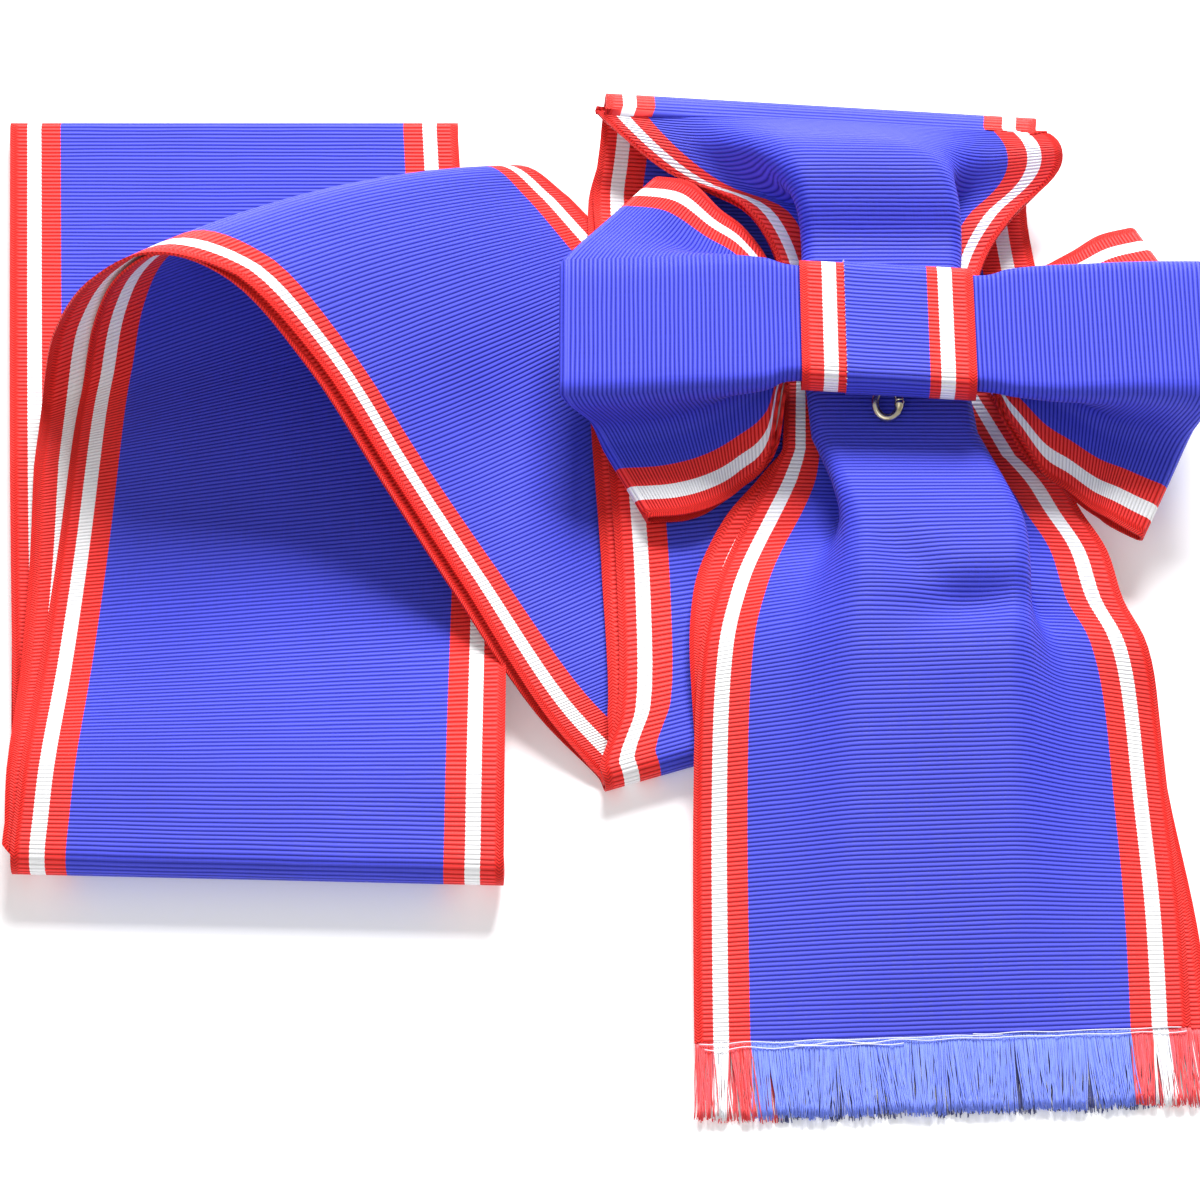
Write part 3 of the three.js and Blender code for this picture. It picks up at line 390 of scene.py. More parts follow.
def sheet_mesh(name, points, ways, places, closed=False, thickness=CLOTH):
    """A thin wall both sides of a grid of points, with UVs in millimetres: across, then along."""
    count, width = points.shape[:2]
    joins = count if closed else count - 1
    run = run_length(points)
    if closed:
        middle = width // 2
        run = np.append(run, run[-1] + np.linalg.norm(points[0, middle] - points[-1, middle]))
    vertices = np.concatenate([(points + side * ways * thickness / 2).reshape(-1, 3) for side in (1, -1)])
    rows, columns = np.arange(joins), np.arange(width - 1)
    row, column = (grid.ravel() for grid in np.meshgrid(rows, columns, indexing="ij"))
    left, right = np.zeros(joins, int), np.full(joins, width - 1)
    start, end = np.zeros(width - 1, int), np.full(width - 1, joins)
    blocks = [
        ((row, column, 0), (row, column + 1, 0), (row + 1, column + 1, 0), (row + 1, column, 0)),
        ((row + 1, column, 1), (row + 1, column + 1, 1), (row, column + 1, 1), (row, column, 1)),
        ((rows, left, 0), (rows + 1, left, 0), (rows + 1, left, 1), (rows, left, 1)),
        ((rows + 1, right, 0), (rows, right, 0), (rows, right, 1), (rows + 1, right, 1)),
    ]
    if not closed:
        blocks += [
            ((start, columns + 1, 0), (start, columns, 0), (start, columns, 1), (start, columns + 1, 1)),
            ((end, columns, 0), (end, columns + 1, 0), (end, columns + 1, 1), (end, columns, 1)),
        ]

    def grid_place(at, across, side):
        return (at % count + side * count) * width + across

    faces, flat_uv = [], []
    for block in blocks:
        faces.append(np.stack([grid_place(*corner) for corner in block], -1))
        flat_uv.append(np.stack([np.stack((places[across], run[at]), -1) for at, across, _ in block], 1))
    faces, flat_uv = np.concatenate(faces), np.concatenate(flat_uv)
    corners = vertices[faces[:, :3]]
    if np.einsum("ij,ij->i", corners[:, 0], np.cross(corners[:, 1], corners[:, 2])).sum() < 0:
        faces, flat_uv = faces[:, ::-1], flat_uv[:, ::-1]
    return mesh_piece(name, vertices, faces.tolist(), flat_uv.reshape(-1, 2))


# The weave: stripes from the left selvage to the right, ribs across the ribbon, and a fine chevron along each
# selvage. Widths and pitches are in millimetres, shades are shares of the dyed colour. The grooves between
# the ribs are painted darker as shade and the crests painted lighter, with a painted highlight on their tops;
# the warp and cloud shades are the cloth's own uneven tone, and the white stripes get less of the painted
# shade.
STRIPES = (
    ("red", 3.6), ("white", 3.35), ("red", 4.15), ("blue", 76.6), ("red", 4.1), ("white", 3.4), ("red", 4.8),
)
COLOURS = {"red": (0.95, 0.018, 0.01), "white": (0.97, 0.97, 0.98), "blue": (0.038, 0.05, 0.66)}
RIB_PITCH, RIB_WANDER, RIB_JOG = 0.95, 0.5, 0.09
SELVAGE_START, SELVAGE_END = 1.3, 2.0
CHEVRON_PITCH, CHEVRON_MIDDLE, CHEVRON_SLANT, CHEVRON_HEIGHT = 0.62, 0.85, 0.8, 0.6
PAINTED_GROOVE_SHADE, PAINTED_CREST_LIGHT, CREST_HEIGHT = 0.4, 1.08, 0.75
WARP_SHADE, CLOUD_SHADE = 0.06, 0.04
WHITE_PAINTED_SHADE_CUT = 0.7
CREST_PAINTED_HIGHLIGHT, CREST_HIGHLIGHT_COLOUR = 0.05, (0.9, 0.85, 1.0, 1)


def new_material(name):
    """A material with its node tree and its shader."""
    material = bpy.data.materials.new(name)
    material.use_nodes = True
    return material, material.node_tree, material.node_tree.nodes["Principled BSDF"]


def feed(tree, socket, value):
    """Link a socket into another, or set its value."""
    if isinstance(value, bpy.types.NodeSocket):
        tree.links.new(value, socket)
    else:
        socket.default_value = value


def maths(tree, operation, *values):
    node = tree.nodes.new("ShaderNodeMath")
    node.operation = operation
    for socket, value in zip(node.inputs, values):
        feed(tree, socket, value)
    return node.outputs[0]


def plus(tree, first, second):
    return maths(tree, "ADD", first, second)


def times(tree, first, second):
    return maths(tree, "MULTIPLY", first, second)


def spread(tree, value, low, high, out_low=0.0, out_high=1.0):
    """A value between low and high, spread over another range."""
    node = tree.nodes.new("ShaderNodeMapRange")
    for socket, number in zip(node.inputs, (value, low, high, out_low, out_high)):
        feed(tree, socket, number)
    return node.outputs[0]


def mixed(tree, blend, factor, first, second):
    """Two colours mixed. A colour mix has its factor at input 0 and its colours at 6 and 7."""
    node = tree.nodes.new("ShaderNodeMix")
    node.data_type = "RGBA"
    node.blend_type = blend
    for place, value in ((0, factor), (6, first), (7, second)):
        feed(tree, node.inputs[place], value)
    return node.outputs[2]


def noise(tree, vector, scale, detail=2.0):
    node = tree.nodes.new("ShaderNodeTexNoise")
    feed(tree, node.inputs["Vector"], vector)
    node.inputs["Scale"].default_value = scale
    node.inputs["Detail"].default_value = detail
    return node.outputs["Fac"]


def combined(tree, x, y, z=0.0):
    node = tree.nodes.new("ShaderNodeCombineXYZ")
    for socket, value in zip(node.inputs, (x, y, z)):
        feed(tree, socket, value)
    return node.outputs[0]


def cloth_noise(tree, across, along, scale_across, scale_along, detail=2.0):
    """Noise on the cloth, with a scale of its own across the ribbon and along it."""
    place = combined(tree, times(tree, across, scale_across), times(tree, along, scale_along))
    return noise(tree, place, 1.0, detail)


def cloth_places(tree):
    """Where a point lies across the ribbon and along it, in millimetres."""
    uv = tree.nodes.new("ShaderNodeUVMap")
    uv.uv_map = "cloth"
    parts = tree.nodes.new("ShaderNodeSeparateXYZ")
    feed(tree, parts.inputs[0], uv.outputs[0])
    return parts.outputs[0], parts.outputs[1]


def stripe_colour(tree, place, stripes, blue):
    """The woven stripes from one selvage to the other, at a place in millimetres."""
    total = sum(width for _, width in stripes)
    ramp = tree.nodes.new("ShaderNodeValToRGB")
    ramp.color_ramp.interpolation = "CONSTANT"
    feed(tree, ramp.inputs[0], maths(tree, "DIVIDE", place, total))
    elements = ramp.color_ramp.elements
    elements.remove(elements[-1])
    start = 0
    for index, (colour, width) in enumerate(stripes):
        element = elements[0] if index == 0 else elements.new(start / total)
        element.color = (*(blue if colour == "blue" else COLOURS[colour]), 1)
        start += width
    return ramp.outputs["Color"]


def ribbed_ribbon(name, stripes):
    """Ribbed silk: rounded ribs across the ribbon, striped edges and a fine chevron at each selvage, with
    painted shade in the rib grooves and painted highlights on the rib crests.
    """
    material, tree, shader = new_material(name)
    total = sum(width for _, width in stripes)
    across, along = cloth_places(tree)
    place = plus(tree, across, total / 2)
    drift = cloth_noise(tree, across, along, 0.04, 0.2)
    run = plus(tree, along, times(tree, drift, RIB_WANDER))
    rib = maths(tree, "ABSOLUTE", maths(tree, "SINE", times(tree, run, math.pi / RIB_PITCH)))

    edge = maths(tree, "MINIMUM", place, maths(tree, "SUBTRACT", total, place))
    selvage = spread(tree, edge, SELVAGE_START, SELVAGE_END, 1.0, 0.0)
    off_middle = maths(tree, "ABSOLUTE", maths(tree, "SUBTRACT", edge, CHEVRON_MIDDLE))
    slant = plus(tree, run, times(tree, off_middle, CHEVRON_SLANT))
    chevron = maths(tree, "ABSOLUTE", maths(tree, "SINE", times(tree, slant, math.pi / CHEVRON_PITCH)))
    height = spread(tree, selvage, 0.0, 1.0, rib, times(tree, chevron, CHEVRON_HEIGHT))

    woven = plus(tree, place, times(tree, rib, RIB_JOG))
    colour = stripe_colour(tree, woven, stripes, COLOURS["blue"])
    warp = cloth_noise(tree, place, run, 3.2, 0.12, 3.0)
    cloud = cloth_noise(tree, place, run, 0.05, 0.03, 1.0)
    # Painted shade: the colour is darker in the rib grooves and lighter on the crests, plus the cloth's own
    # warp and cloud tone.
    painted_rib_shade_and_tone = spread(tree, height, 0.0, CREST_HEIGHT, PAINTED_GROOVE_SHADE, PAINTED_CREST_LIGHT)
    painted_rib_shade_and_tone = plus(tree, painted_rib_shade_and_tone, spread(tree, warp, 0.3, 0.7, -WARP_SHADE, WARP_SHADE))
    painted_rib_shade_and_tone = plus(tree, painted_rib_shade_and_tone, spread(tree, cloud, 0.3, 0.7, -CLOUD_SHADE, CLOUD_SHADE))
    # The painted rib shade is weaker on the white stripes.
    channels = tree.nodes.new("ShaderNodeSeparateColor")
    feed(tree, channels.inputs[0], colour)
    painted_shade_strength = maths(tree, "SUBTRACT", 1.0, times(tree, channels.outputs["Green"], WHITE_PAINTED_SHADE_CUT))
    colour = mixed(tree, "MULTIPLY", painted_shade_strength, colour, combined(tree, painted_rib_shade_and_tone, painted_rib_shade_and_tone, painted_rib_shade_and_tone))
    # Painted highlight: the rib crests are mixed towards a pale highlight colour.
    painted_crest_highlight = times(tree, maths(tree, "POWER", height, 3.0), CREST_PAINTED_HIGHLIGHT)
    colour = mixed(tree, "MIX", painted_crest_highlight, colour, CREST_HIGHLIGHT_COLOUR)
    feed(tree, shader.inputs["Base Color"], colour)
    feed(tree, shader.inputs["Roughness"], spread(tree, warp, 0.3, 0.7, 0.5, 0.62))
    shader.inputs["Specular IOR Level"].default_value = 0.2
    shader.inputs["Sheen Weight"].default_value = 0.07
    shader.inputs["Sheen Roughness"].default_value = 0.35
    shader.inputs["Sheen Tint"].default_value = (0.75, 0.75, 1.0, 1)
    bump = tree.nodes.new("ShaderNodeBump")
    bump.inputs["Strength"].default_value = 0.8
    bump.inputs["Distance"].default_value = 0.00022
    feed(tree, bump.inputs["Height"], height)
    feed(tree, shader.inputs["Normal"], bump.outputs[0])
    return material


sash_columns = columns_for(SASH_PANEL, SASH_PLEAT)
sash_points, sash_ways, sash_rows = sash_run(sash_columns)
sash = sheet_mesh("sash", sash_points, sash_ways, sash_columns)
sash.data.materials.append(ribbed_ribbon("sash_cloth", STRIPES))
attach(sash, "root")
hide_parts("sash_ribbon")

# The bow is a closed band of the same ribbon, pleated small at the waist and opening out at both ends. It
# lies on the pinched sash and is held only by the knot.
BOW_REACH = 69.5
BOW_PANEL, BOW_PLEAT, BOW_CREASE = 33, 14, 2.2
BOW_SOFTNESS = 16
BOW_STEPS = 6
BOW_GAP = 1.3
CLEARANCE = 0.35
SASH_TOP = WAIST_HEIGHT + PLY_OFFSET + WALL / 2
BOW_FACE = SASH_TOP + 2 * CLEARANCE + 1.5 * WALL + BOW_GAP + 4 * BOW_CREASE

# The bow's upper layer, from left to right. open is how far the lower layer lies under it, in millimetres.
BOW = "x y z pleat0 pleat1 flare0 flare1 sweep0 sweep1 gather0 gather1 squeeze open"
BOW_ROWS = named(BOW, (
    (-1, 0.002, 0.98, 96, 28, 3, 26, 0.18, 0.2, 1, 1, 1, 3),
    (-0.84, 0.004, 0.99, 97, 34, 3, 27, 0.14, 0.16, 1, 1, 1, 3),
    (-0.66, 0.01, 1, 104, 60, 6, 25, 0.08, 0.1, 1, 0.88, 1, 2.6),
    (-0.5, 0.015, 1, 121, 82, 14, 23, 0.03, 0.05, 1, 0.85, 1, 1.8),
    (-0.38, 0.017, 1, 142, 116, 18, 22, 0.01, 0.02, 0.9, 0.85, 0.97, 1.5),
    (-0.29, 0.018, 1, 180, 180, 0, 0, 0, 0, 0.1, 0.1, 0.89, 1.3),
    (0, 0.005, 1, 180, 180, 0, 0, 0, 0, 0.1, 0.1, 0.89, 1.3),
    (0.29, -0.008, 1, 180, 180, 0, 0, 0, 0, 0.1, 0.1, 0.89, 1.3),
    (0.39, -0.007, 1, 172, 160, 10, 12, 0, 0, 0.7, 0.75, 0.97, 1.5),
    (0.5, -0.006, 1, 144, 130, 17, 20, 0.01, 0.01, 0.95, 0.9, 1, 1.6),
    (0.61, -0.004, 1, 125, 112, 8, 22, 0.03, 0.03, 1, 0.9, 1, 1.8),
    (0.74, 0, 1, 105, 104, 6, 20, 0.07, 0.07, 1, 0.92, 1, 2.3),
    (0.87, 0.002, 0.99, 94, 92, 5, 20, 0.12, 0.1, 1, 1, 1, 3),
    (1, 0.004, 0.97, 79, 84, 11, 20, 0.15, 0.12, 1, 1, 1, 3.2),
))


def bow_run(columns):
    """Once round the band: along its upper layer, round the right end and back underneath."""
    table = blended_rows(BOW_ROWS, BOW_STEPS)
    reach = BOW_REACH - BOW_ROWS[0]["open"] / 2 - WALL / 2
    rows = []
    for row in table:
        across, up, swept = pleated_section(columns, row, BOW_PANEL, BOW_PLEAT, BOW_CREASE, BOW_SOFTNESS)
        rows.append(np.stack((
            KNOT_X + row["x"] * reach - math.copysign(1, row["x"]) * swept,
            KNOT_Y + row["y"] * RIBBON_WIDTH + across,
            row["z"] * BOW_FACE + up,
        ), axis=-1))
    rows = np.array(rows)
    faces = -facings(rows)
    half = np.array([row["open"] for row in table])[:, None, None] / 2
    centres = rows - faces * half
    points, ways = [*(centres + faces * half)], [*faces]
    for end, inner, order in ((-1, -2, END_TURNS), (0, 1, END_TURNS[::-1])):
        out = unit(rows[end] - rows[inner])
        curl = [unit(faces[end] * math.cos(turn) + out * math.sin(turn)) for turn in order]
        points += [centres[end] + way * half[end] for way in curl]
        ways += curl
        if end == -1:
            points += [*(centres - faces * half)[::-1]]
            ways += [*-faces[::-1]]
    return np.array(points), np.array(ways)


bow_columns = columns_for(BOW_PANEL, BOW_PLEAT)
bow_points, bow_ways = bow_run(bow_columns)
bow = sheet_mesh("bow", bow_points, bow_ways, bow_columns, closed=True)
bow.data.materials.append(ribbed_ribbon("bow_cloth", STRIPES))
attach(bow, "root")
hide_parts("bow_ribbon")

# The knot is a narrower fold of the ribbon round the bow's waist, wide over the panel and drawn in beneath
# it. Its blue part laps over the left stripe and is stitched down along that edge.
KNOT_STRIPES = (
    ("red", 4.6), ("white", 3.1), ("red", 1.65), ("blue", 17.5), ("red", 2.25), ("white", 3), ("red", 4.5),
)
KNOT_CLOTH = 0.5
KNOT_CORNER, WAIST_CORNER, LEDGE_CORNER = 4, 2, 1
CORNER_PLACES, KNOT_PLACES, KNOT_COLUMNS = 9, 130, 31
PINCHED_HEM = 1.7
LAP_EDGE = np.array((-0.12, -0.04, 0.04, 0.12))
LAP_SUNK, LAP_RAISED, LAP_FADE = 0.2, 0.24, 3


def knot_skew(places):
    """How far back the bow's middle lies at places across the knot."""
    reaches = [row["x"] for row in BOW_ROWS]
    backs = [row["y"] for row in BOW_ROWS]
    return np.interp(places / BOW_REACH, reaches, backs) * RIBBON_WIDTH


def knot_run():
    """The band's places and facings, its places across, and where the blue part's edge laps over."""
    squeeze = min(row["squeeze"] for row in BOW_ROWS)
    bend = math.pi * BOW_CREASE / 2
    around = WALL / 2 + CLEARANCE + WALL / 2
    wide = (BOW_PANEL / 2 - bend + BOW_CREASE) * squeeze + around
    pinched = (BOW_PANEL / 2 - BOW_PLEAT + bend + PINCHED_HEM) * squeeze + around
    ledge = BOW_FACE - 2 * BOW_CREASE - around
    bottom = SASH_TOP + CLEARANCE + WALL / 2
    corners = [
        (pinched, bottom, WAIST_CORNER), (pinched, ledge, LEDGE_CORNER),
        (wide, ledge, WAIST_CORNER), (wide, BOW_FACE + around, KNOT_CORNER),
    ]
    corners += [(-across, up, corner) for across, up, corner in corners[::-1]]
    outline = []
    for index, (across, up, corner) in enumerate(corners):
        at = np.array((across, up))
        before, after = (np.array(corners[(index + step) % len(corners)][:2]) for step in (-1, 1))
        start, end = at + unit(before - at) * corner, at + unit(after - at) * corner
        for mix in np.linspace(0, 1, CORNER_PLACES):
            outline.append(start * (1 - mix) ** 2 + at * 2 * mix * (1 - mix) + end * mix ** 2)
    closed = np.array(outline + outline[:1])
    lengths = np.concatenate(([0], np.cumsum(np.linalg.norm(np.diff(closed, axis=0), axis=-1))))
    even = np.linspace(0, lengths[-1], KNOT_PLACES)[:-1]
    outline = np.stack([np.interp(even, lengths, closed[:, axis]) for axis in (0, 1)], -1)
    along = unit(np.roll(outline, -1, 0) - np.roll(outline, 1, 0))
    lap = -KNOT_WIDTH / 2 + sum(width for _, width in KNOT_STRIPES[:3])
    places = np.linspace(-KNOT_WIDTH / 2, KNOT_WIDTH / 2, KNOT_COLUMNS)
    places = np.sort(np.concatenate((places, lap + LAP_EDGE)))
    out = np.stack((np.zeros(len(along)), along[:, 1], -along[:, 0]), -1)
    ways = np.repeat(out[:, None], len(places), 1)
    points = np.zeros(ways.shape)
    points[..., 0] = KNOT_X + places
    points[..., 1] = KNOT_Y + outline[:, :1] + knot_skew(places)
    points[..., 2] = outline[:, 1:]
    raised = LAP_RAISED * np.exp(-np.maximum(places - lap, 0) / LAP_FADE)
    raised = np.where(places < lap, -LAP_SUNK, raised)
    return points + ways * raised[:, None], ways, places, lap


knot_points, knot_ways, knot_places, lap = knot_run()
knot = sheet_mesh("knot", knot_points, knot_ways, knot_places, closed=True, thickness=KNOT_CLOTH)
knot.data.materials.append(ribbed_ribbon("knot_cloth", KNOT_STRIPES))
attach(knot, "root")
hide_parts("knot_band")

# The stitches are short loops of white thread along the knot's lapped edge, one to every second row on its
# face, each out of the blue part and down into the stripe beside it.
STITCH_RADIUS, STITCH_SIDES = 0.08, 6
STITCH_INSET, STITCH_JOG = 0.12, 0.08
STITCH_HEIGHT, STITCH_CROWN, STITCH_FOOT = 0.28, 0.04, 0.24
FACE_UP = 0.2
np.random.seed(7)


def tube_mesh(name, paths, radii, sides, up, places=None):
    """Round strands along paths, an array of strands of points, thinning as radii says."""
    count, length = paths.shape[:2]
    along = neighbours_apart(paths, 1)
    across = unit(np.cross(along, up))
    lift = np.cross(across, along)
    spins = 2 * math.pi * np.arange(sides) / sides
    ring = across[:, :, None] * np.cos(spins)[:, None] + lift[:, :, None] * np.sin(spins)[:, None]
    vertices = paths[:, :, None] + ring * radii[..., None, None]
    ranges = [np.arange(number) for number in (count, length - 1, sides)]
    strand, place, side = (grid.ravel() for grid in np.meshgrid(*ranges, indexing="ij"))

    def corner(strand, place, side):
        return (strand * length + place) * sides + side % sides

    quads = np.stack((
        corner(strand, place, side), corner(strand, place + 1, side),
        corner(strand, place + 1, side + 1), corner(strand, place, side + 1),
    ), -1)
    strands = np.arange(count)
    heads = np.stack([corner(strands, 0, order) for order in range(sides)], -1)
    feet = np.stack([corner(strands, length - 1, order) for order in range(sides - 1, -1, -1)], -1)
    faces = quads.tolist() + heads.tolist() + feet.tolist()
    uvs = None
    if places is not None:
        corners = np.array([corner for face in faces for corner in face])
        uvs = np.stack((places[corners // (length * sides)], (corners // sides % length).astype(float)), -1)
    return mesh_piece(name, vertices.reshape(-1, 3), faces, uvs, sharpened=False)


def knot_stitches():
    """The stitches' paths, from their start on the blue part to their foot in the stripe."""
    column = int(np.argmin(np.abs(knot_places - lap)))
    paths = []
    for row in range(0, len(knot_points), 2):
        way = knot_ways[row, 0]
        if way[2] <= FACE_UP:
            continue
        start = knot_points[row, column + 1] + way * STITCH_HEIGHT
        end = knot_points[row, column - 1] + way * STITCH_FOOT
        jog = np.array((np.random.uniform(-STITCH_JOG, STITCH_JOG), 0, 0))
        blue_end = start + (STITCH_INSET, 0, 0) + jog
        paths.append([blue_end, start + way * STITCH_CROWN, (start + end) / 2, end + jog])
    return np.array(paths)


stitch_paths = knot_stitches()
stitch_radii = np.full(stitch_paths.shape[:2], STITCH_RADIUS)
stitches = tube_mesh("knot_stitches", stitch_paths, stitch_radii, STITCH_SIDES, (0.3, 1.0, 0.2))
stitch_thread, tree, shader = new_material("stitch_thread")
fibres = noise(tree, tree.nodes.new("ShaderNodeTexCoord").outputs["Object"], 4000)
thread_colour = mixed(tree, "MIX", fibres, (0.7, 0.72, 0.85, 1), (0.95, 0.95, 1, 1))
feed(tree, shader.inputs["Base Color"], thread_colour)
shader.inputs["Roughness"].default_value = 0.7
stitches.data.materials.append(stitch_thread)
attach(stitches, "root")

# The fringes are the ribbon's own long threads below the cut ends of both tails, clinging together in locks,
# pale in front, with the back fringe painted dark as shade under the front one. Four loose cross threads
# still lie over the front fringe's head.
FRINGE_LENGTH = 18
FRONT_THREADS, BACK_THREADS = 1000, 620
FRONT_HEAD, FRONT_FOOT = FIRST_LAYER + PLY_OFFSET, 1.6
BACK_HEAD, BACK_FOOT = FIRST_LAYER - PLY_OFFSET, 0.45
THREAD_RADIUS, THREAD_THINNING, THREAD_SIDES, THREAD_PLACES = 0.15, 0.35, 4, 9
HEAD_OVERLAP = 0.8
EDGE_INSET = 0.2
# The back threads' blue is painted dark as shade under the front fringe.
FRONT_BLUE, SHADED_BACK_BLUE = (0.17, 0.26, 0.95), (0.02, 0.025, 0.2)
WEFT_RADIUS, WEFT_SIDES, WEFT_PLACES, WEFT_LIFT, WEFT_DIP = 0.11, 6, 70, 0.45, 0.08

# The locks from left to right: reach is a share of the fringe's length, lean one of the lock's width, and tip
# how wide the lock ends.
LOCKS = named("reach lean tip", (
    (0.98, -0.1, 0.86), (1, 0.1, 0.8), (0.97, 0.05, 0.9), (1, -0.12, 0.84), (0.99, 0.08, 0.88),
    (0.96, 0.12, 0.8), (1, -0.05, 0.9), (0.98, 0.1, 0.84), (0.99, -0.1, 0.88), (0.97, 0.06, 0.8),
    (1, -0.08, 0.88), (0.98, 0.1, 0.84), (0.96, -0.06, 0.9), (0.99, 0.04, 0.84),
))

# The cross threads: where they start and finish across the tail, how far below its end they lie, how much
# they sway and how often, in millimetres.
WEFTS = named("start finish drop sway bends", (
    (-49, 12, 0.5, 0.25, 9),
    (-30, 49, 1.1, 0.35, 13),
    (-48, -8, 1.7, 0.4, 7),
    (6, 48, 0.2, 0.2, 6),
))


def tail_end():
    """The middle of the tails' cut end, the way across it and the way out of it."""
    end = sash_rows[-1]
    across = unit(end[-1] - end[0])
    return end[len(end) // 2] * (1, 1, 0), across, np.array((across[1], -across[0], 0))


def below_end(side, down, lift):
    """Places below the tails' end: so far to the side, down and up."""
    middle, across, out = tail_end()
    return middle + across * side[..., None] + out * down[..., None] + np.array((0, 0, 1)) * lift[..., None]


def fringe(name, slip, head, foot, count):
    """One tail's threads, each leaning with its lock and waving a little by itself."""
    places = np.linspace(-HALF_RIBBON + EDGE_INSET, HALF_RIBBON - EDGE_INSET, count)
    places += np.random.uniform(-0.1, 0.1, count)
    pitch = RIBBON_WIDTH / len(LOCKS)
    lock = np.clip(((places + HALF_RIBBON) // pitch).astype(int), 0, len(LOCKS) - 1)
    reach, lean, tip = (np.array([row[key] for row in LOCKS])[lock] for key in ("reach", "lean", "tip"))
    off = places + HALF_RIBBON - (lock + 0.5) * pitch
    aim = -off * (1 - tip) + lean * pitch + np.random.normal(0, 0.7, count)
    shares = np.linspace(0, 1, THREAD_PLACES)
    down = shares * (reach * FRINGE_LENGTH * np.random.uniform(0.93, 1.0, count))[:, None]
    waves, phase = np.random.uniform(3, 8, count)[:, None], np.random.uniform(0, 6, count)[:, None]
    wave = 0.25 * np.sin(shares * waves + phase)
    side = places[:, None] + slip + aim[:, None] * shares ** 1.4 + wave * shares
    layer = np.random.uniform(-0.32, 0.32, count)[:, None] * np.minimum(1, shares * 4)
    lift = head + (foot - head) * shares ** 0.7 + layer
    radii = THREAD_RADIUS * (1 - THREAD_THINNING * shares) * np.ones((count, 1))
    return tube_mesh(name, below_end(side, down - HEAD_OVERLAP, lift), radii, THREAD_SIDES, (0, 0, 1), places)


def loose_wefts():
    """The loose cross threads, swaying along the front fringe's head."""
    shares = np.linspace(0, 1, WEFT_PLACES)
    paths = []
    for row in WEFTS:
        side = row["start"] + (row["finish"] - row["start"]) * shares
        sway = np.sin(shares * row["bends"] * math.pi) * (0.6 + 0.4 * np.cos(shares * 5))
        lift = FRONT_HEAD + WEFT_LIFT + WEFT_DIP * np.sin(shares * row["bends"] * 2)
        paths.append(below_end(side, row["drop"] + row["sway"] * sway, lift))
    paths = np.array(paths)
    return tube_mesh("loose_wefts", paths, np.full(paths.shape[:2], WEFT_RADIUS), WEFT_SIDES, (0, 0, 1))


def thread_material(name, blue):
    """Soft loose threads in the ribbon's stripes, with some strands paler than others."""
    material, tree, shader = new_material(name)
    across, along = cloth_places(tree)
    place = plus(tree, across, HALF_RIBBON)
    colour = stripe_colour(tree, place, STRIPES, blue)
    strand = cloth_noise(tree, place, along, 2.3, 0.15, 3.0)
    colour = mixed(tree, "MIX", spread(tree, strand, 0.35, 0.7, 0.0, 0.16), colour, (0.55, 0.65, 1.0, 1))
    feed(tree, shader.inputs["Base Color"], colour)
    shader.inputs["Roughness"].default_value = 0.55
    shader.inputs["Sheen Weight"].default_value = 0.3
    return material


back_slip = TAIL_ROWS[-1]["slip"] * RIBBON_WIDTH
front_fringe = fringe("front_fringe_threads", 0, FRONT_HEAD, FRONT_FOOT, FRONT_THREADS)
back_fringe = fringe("back_fringe_threads", back_slip, BACK_HEAD, BACK_FOOT, BACK_THREADS)
wefts = loose_wefts()
front_fringe.data.materials.append(thread_material("front_threads", FRONT_BLUE))
# The back threads are painted dark as shade.
back_fringe.data.materials.append(thread_material("shaded_back_threads", SHADED_BACK_BLUE))
wefts.data.materials.append(stitch_thread)
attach(front_fringe, "root")
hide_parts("front_fringe")
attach(back_fringe, "root")
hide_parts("back_fringe")
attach(wefts, "root")

# The badge ring is a split oval of worn brass wire with a latch on its right. It hangs from a small wire eye
# under the knot and lies on the tail, so it leans back from the tail up to the eye.
EYE_WIDTH, EYE_LENGTH, EYE_WIRE = 3.6, 4.2, 0.8
SOLID_LENGTH, SOLID_WIRE = 8, 1.25
RING_WIDTH, RING_LENGTH, RING_WIRE, RING_LIFT = 6.8, 8.2, 1.7, 0.2
RING_LATCH, LATCH_POWER = 0.3, 20
SPLIT_DEPTH, SPLIT_TURN, SPLIT_WIDTH = 0.12, 0.16, 0.025
WIRE_PLACES, WIRE_SIDES = 160, 20


def wire_ring(name, width, length, wire, latch, axes, middle):
    """An oval of round wire, swelling at its latch and cut there by a fine split."""
    reach = np.array((width - wire, length - wire)) / 2
    turn = 2 * math.pi * np.arange(WIRE_PLACES) / WIRE_PLACES
    out = unit(np.stack((reach[1] * np.cos(turn), reach[0] * np.sin(turn)), -1))
    swell = 1 + latch * np.maximum(0, np.cos(turn)) ** LATCH_POWER
    swell -= SPLIT_DEPTH * np.exp(-((turn - SPLIT_TURN) / SPLIT_WIDTH) ** 2)
    thick = wire / 2 * swell
    spin = 2 * math.pi * np.arange(WIRE_SIDES) / WIRE_SIDES
    away = thick[:, None] * np.cos(spin)
    x = reach[0] * np.cos(turn)[:, None] + out[:, :1] * away
    y = reach[1] * np.sin(turn)[:, None] + out[:, 1:] * away
    local = np.stack((x, y, thick[:, None] * np.sin(spin)), -1).reshape(-1, 3)
    ranges = np.arange(WIRE_PLACES), np.arange(WIRE_SIDES)
    place, side = (grid.ravel() for grid in np.meshgrid(*ranges, indexing="ij"))

    def corner(place, side):
        return place % WIRE_PLACES * WIRE_SIDES + side % WIRE_SIDES

    faces = np.stack((
        corner(place, side), corner(place + 1, side), corner(place + 1, side + 1), corner(place, side + 1),
    ), -1)
    return mesh_piece(name, local @ np.array(axes) + middle, faces.tolist())


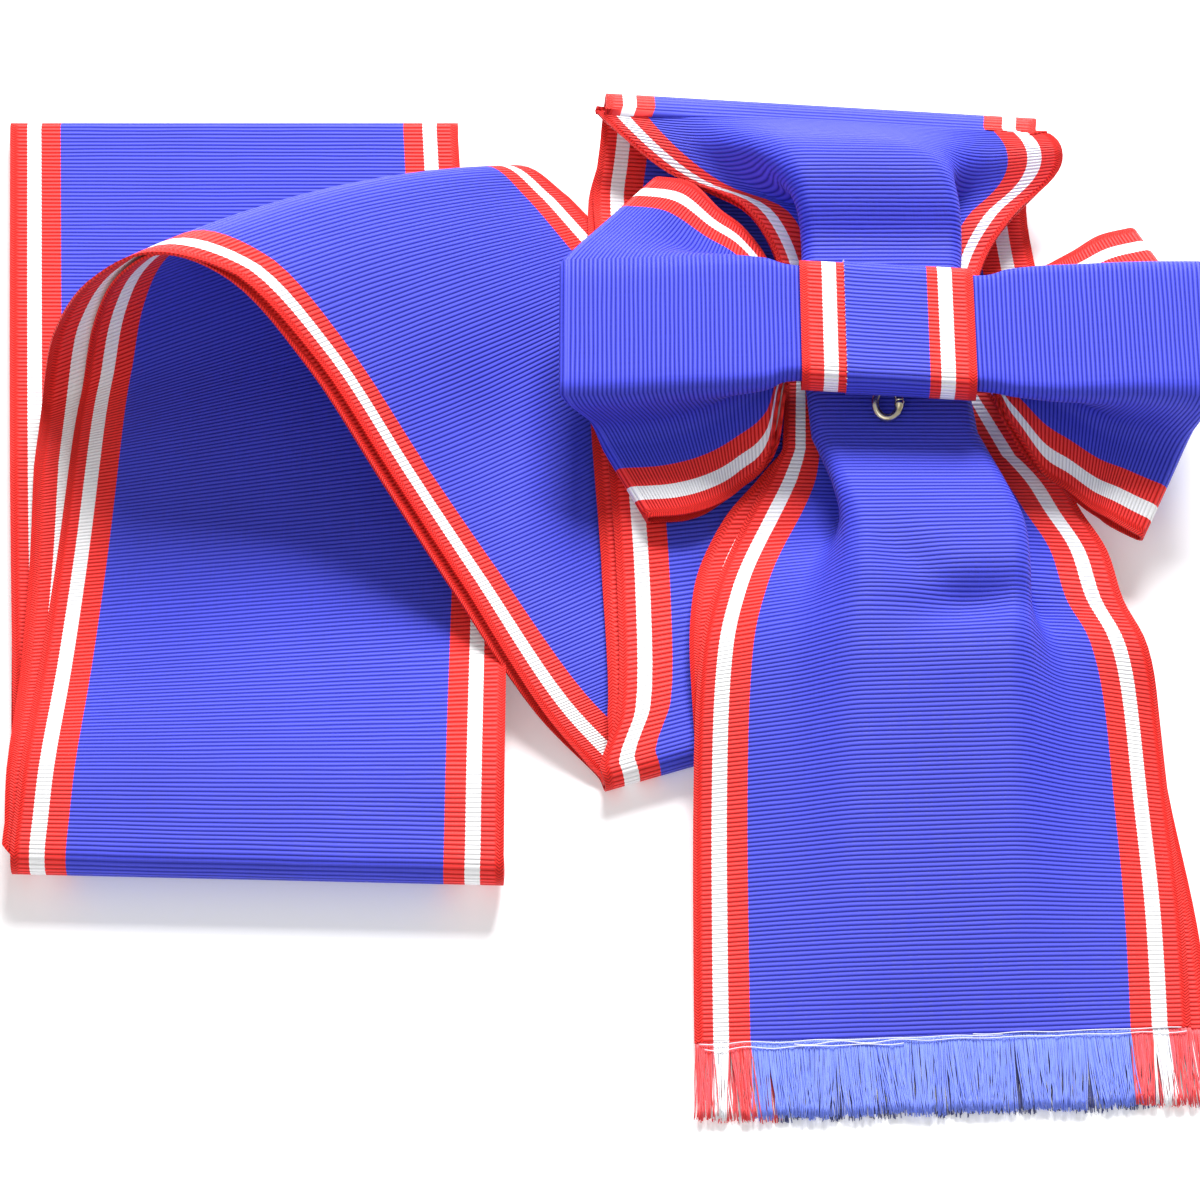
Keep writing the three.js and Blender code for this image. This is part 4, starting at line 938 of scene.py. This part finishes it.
def box_middle(node):
    """The middle of a solid's box, in the layout's millimetres."""
    low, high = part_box(node)
    return (np.array(low) + np.array(high)) / 2 / MM - ORIGIN


eye_middle = box_middle("ring_eye")
upright = ((0, 1, 0), (0, 0, 1), (1, 0, 0))
eye = wire_ring("eye", EYE_WIDTH, EYE_LENGTH, EYE_WIRE, 0, upright, eye_middle)
lean = math.asin((eye_middle[2] - (SASH_TOP + CLEARANCE + SOLID_WIRE)) / (SOLID_LENGTH - SOLID_WIRE))
tilt = ((1, 0, 0), (0, math.cos(lean), math.sin(lean)), (0, -math.sin(lean), math.cos(lean)))
ring_middle = box_middle("badge_ring") + (0, 0, RING_LIFT)
ring = wire_ring("ring", RING_WIDTH, RING_LENGTH, RING_WIRE, RING_LATCH, tilt, ring_middle)
brass, tree, shader = new_material("worn_brass")
patches = noise(tree, tree.nodes.new("ShaderNodeTexCoord").outputs["Object"], 700, 4)
wear = spread(tree, patches, 0.4, 0.65)
brass_colour = mixed(tree, "MIX", wear, (0.74, 0.68, 0.52, 1), (0.52, 0.43, 0.25, 1))
feed(tree, shader.inputs["Base Color"], brass_colour)
feed(tree, shader.inputs["Roughness"], spread(tree, patches, 0.3, 0.7, 0.14, 0.3))
shader.inputs["Metallic"].default_value = 1
for wire, node in ((eye, "ring_eye"), (ring, "badge_ring")):
    wire.data.materials.append(brass)
    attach(wire, "root")
    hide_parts(node)

# The floor is a wide sheet of pale matt paper, lit a little from within so that shadows on it stay soft. It
# isn't part of the object.
FLOOR_SIZE = 6
bpy.ops.mesh.primitive_plane_add(size=FLOOR_SIZE)
floor = bpy.context.object
floor.name = "floor"
paper, tree, shader = new_material("pale_paper")
grain = noise(tree, tree.nodes.new("ShaderNodeTexCoord").outputs["Object"], 300, 3)
feed(tree, shader.inputs["Base Color"], mixed(tree, "MIX", grain, (0.9, 0.9, 0.91, 1), (0.93, 0.93, 0.94, 1)))
shader.inputs["Roughness"].default_value = 0.9
shader.inputs["Emission Color"].default_value = (1, 1, 1, 1)
shader.inputs["Emission Strength"].default_value = 0.2
floor.data.materials.append(paper)

# The light is a soft white studio, with a key behind the part that brings out the ribs and a weak fill in
# front. Places and sizes are in metres, power in watts.
WORLD_STRENGTH = 0.45
LIGHTS = named("name place size power", (
    ("key", (0.15, 1.15, 0.98), 0.6, 44),
    ("front", (-0.3, -0.8, 1.1), 0.9, 3),
))
world = bpy.data.worlds.new("studio")
world.use_nodes = True
background = world.node_tree.nodes["Background"]
background.inputs["Color"].default_value = (1, 1, 1, 1)
background.inputs["Strength"].default_value = WORLD_STRENGTH
bpy.context.scene.world = world
for row in LIGHTS:
    light = bpy.data.lights.new(row["name"], "AREA")
    light.energy = row["power"]
    light.size = row["size"]
    lamp = bpy.data.objects.new(row["name"], light)
    bpy.context.scene.collection.objects.link(lamp)
    lamp.location = row["place"]
    right, back, up = row["place"]
    lamp.rotation_euler = (math.atan2(math.hypot(right, back), up), 0, math.atan2(back, right) + math.pi / 2)

# The camera looks at the middle of the part from the front and above, at the photograph's angle, with a long
# lens. The distance is in metres.
ELEVATION = math.radians(63)
DISTANCE = 0.898
camera_data = bpy.data.cameras.new("camera")
camera_data.lens = 127.1
camera_data.sensor_width = 36
camera = bpy.data.objects.new("camera", camera_data)
bpy.context.scene.collection.objects.link(camera)
camera.location = ORIGIN * MM + DISTANCE * np.array((0, -math.cos(ELEVATION), math.sin(ELEVATION)))
camera.rotation_euler = (math.pi / 2 - ELEVATION, 0, 0)
bpy.context.scene.camera = camera
bpy.context.scene.view_settings.view_transform = "Standard"
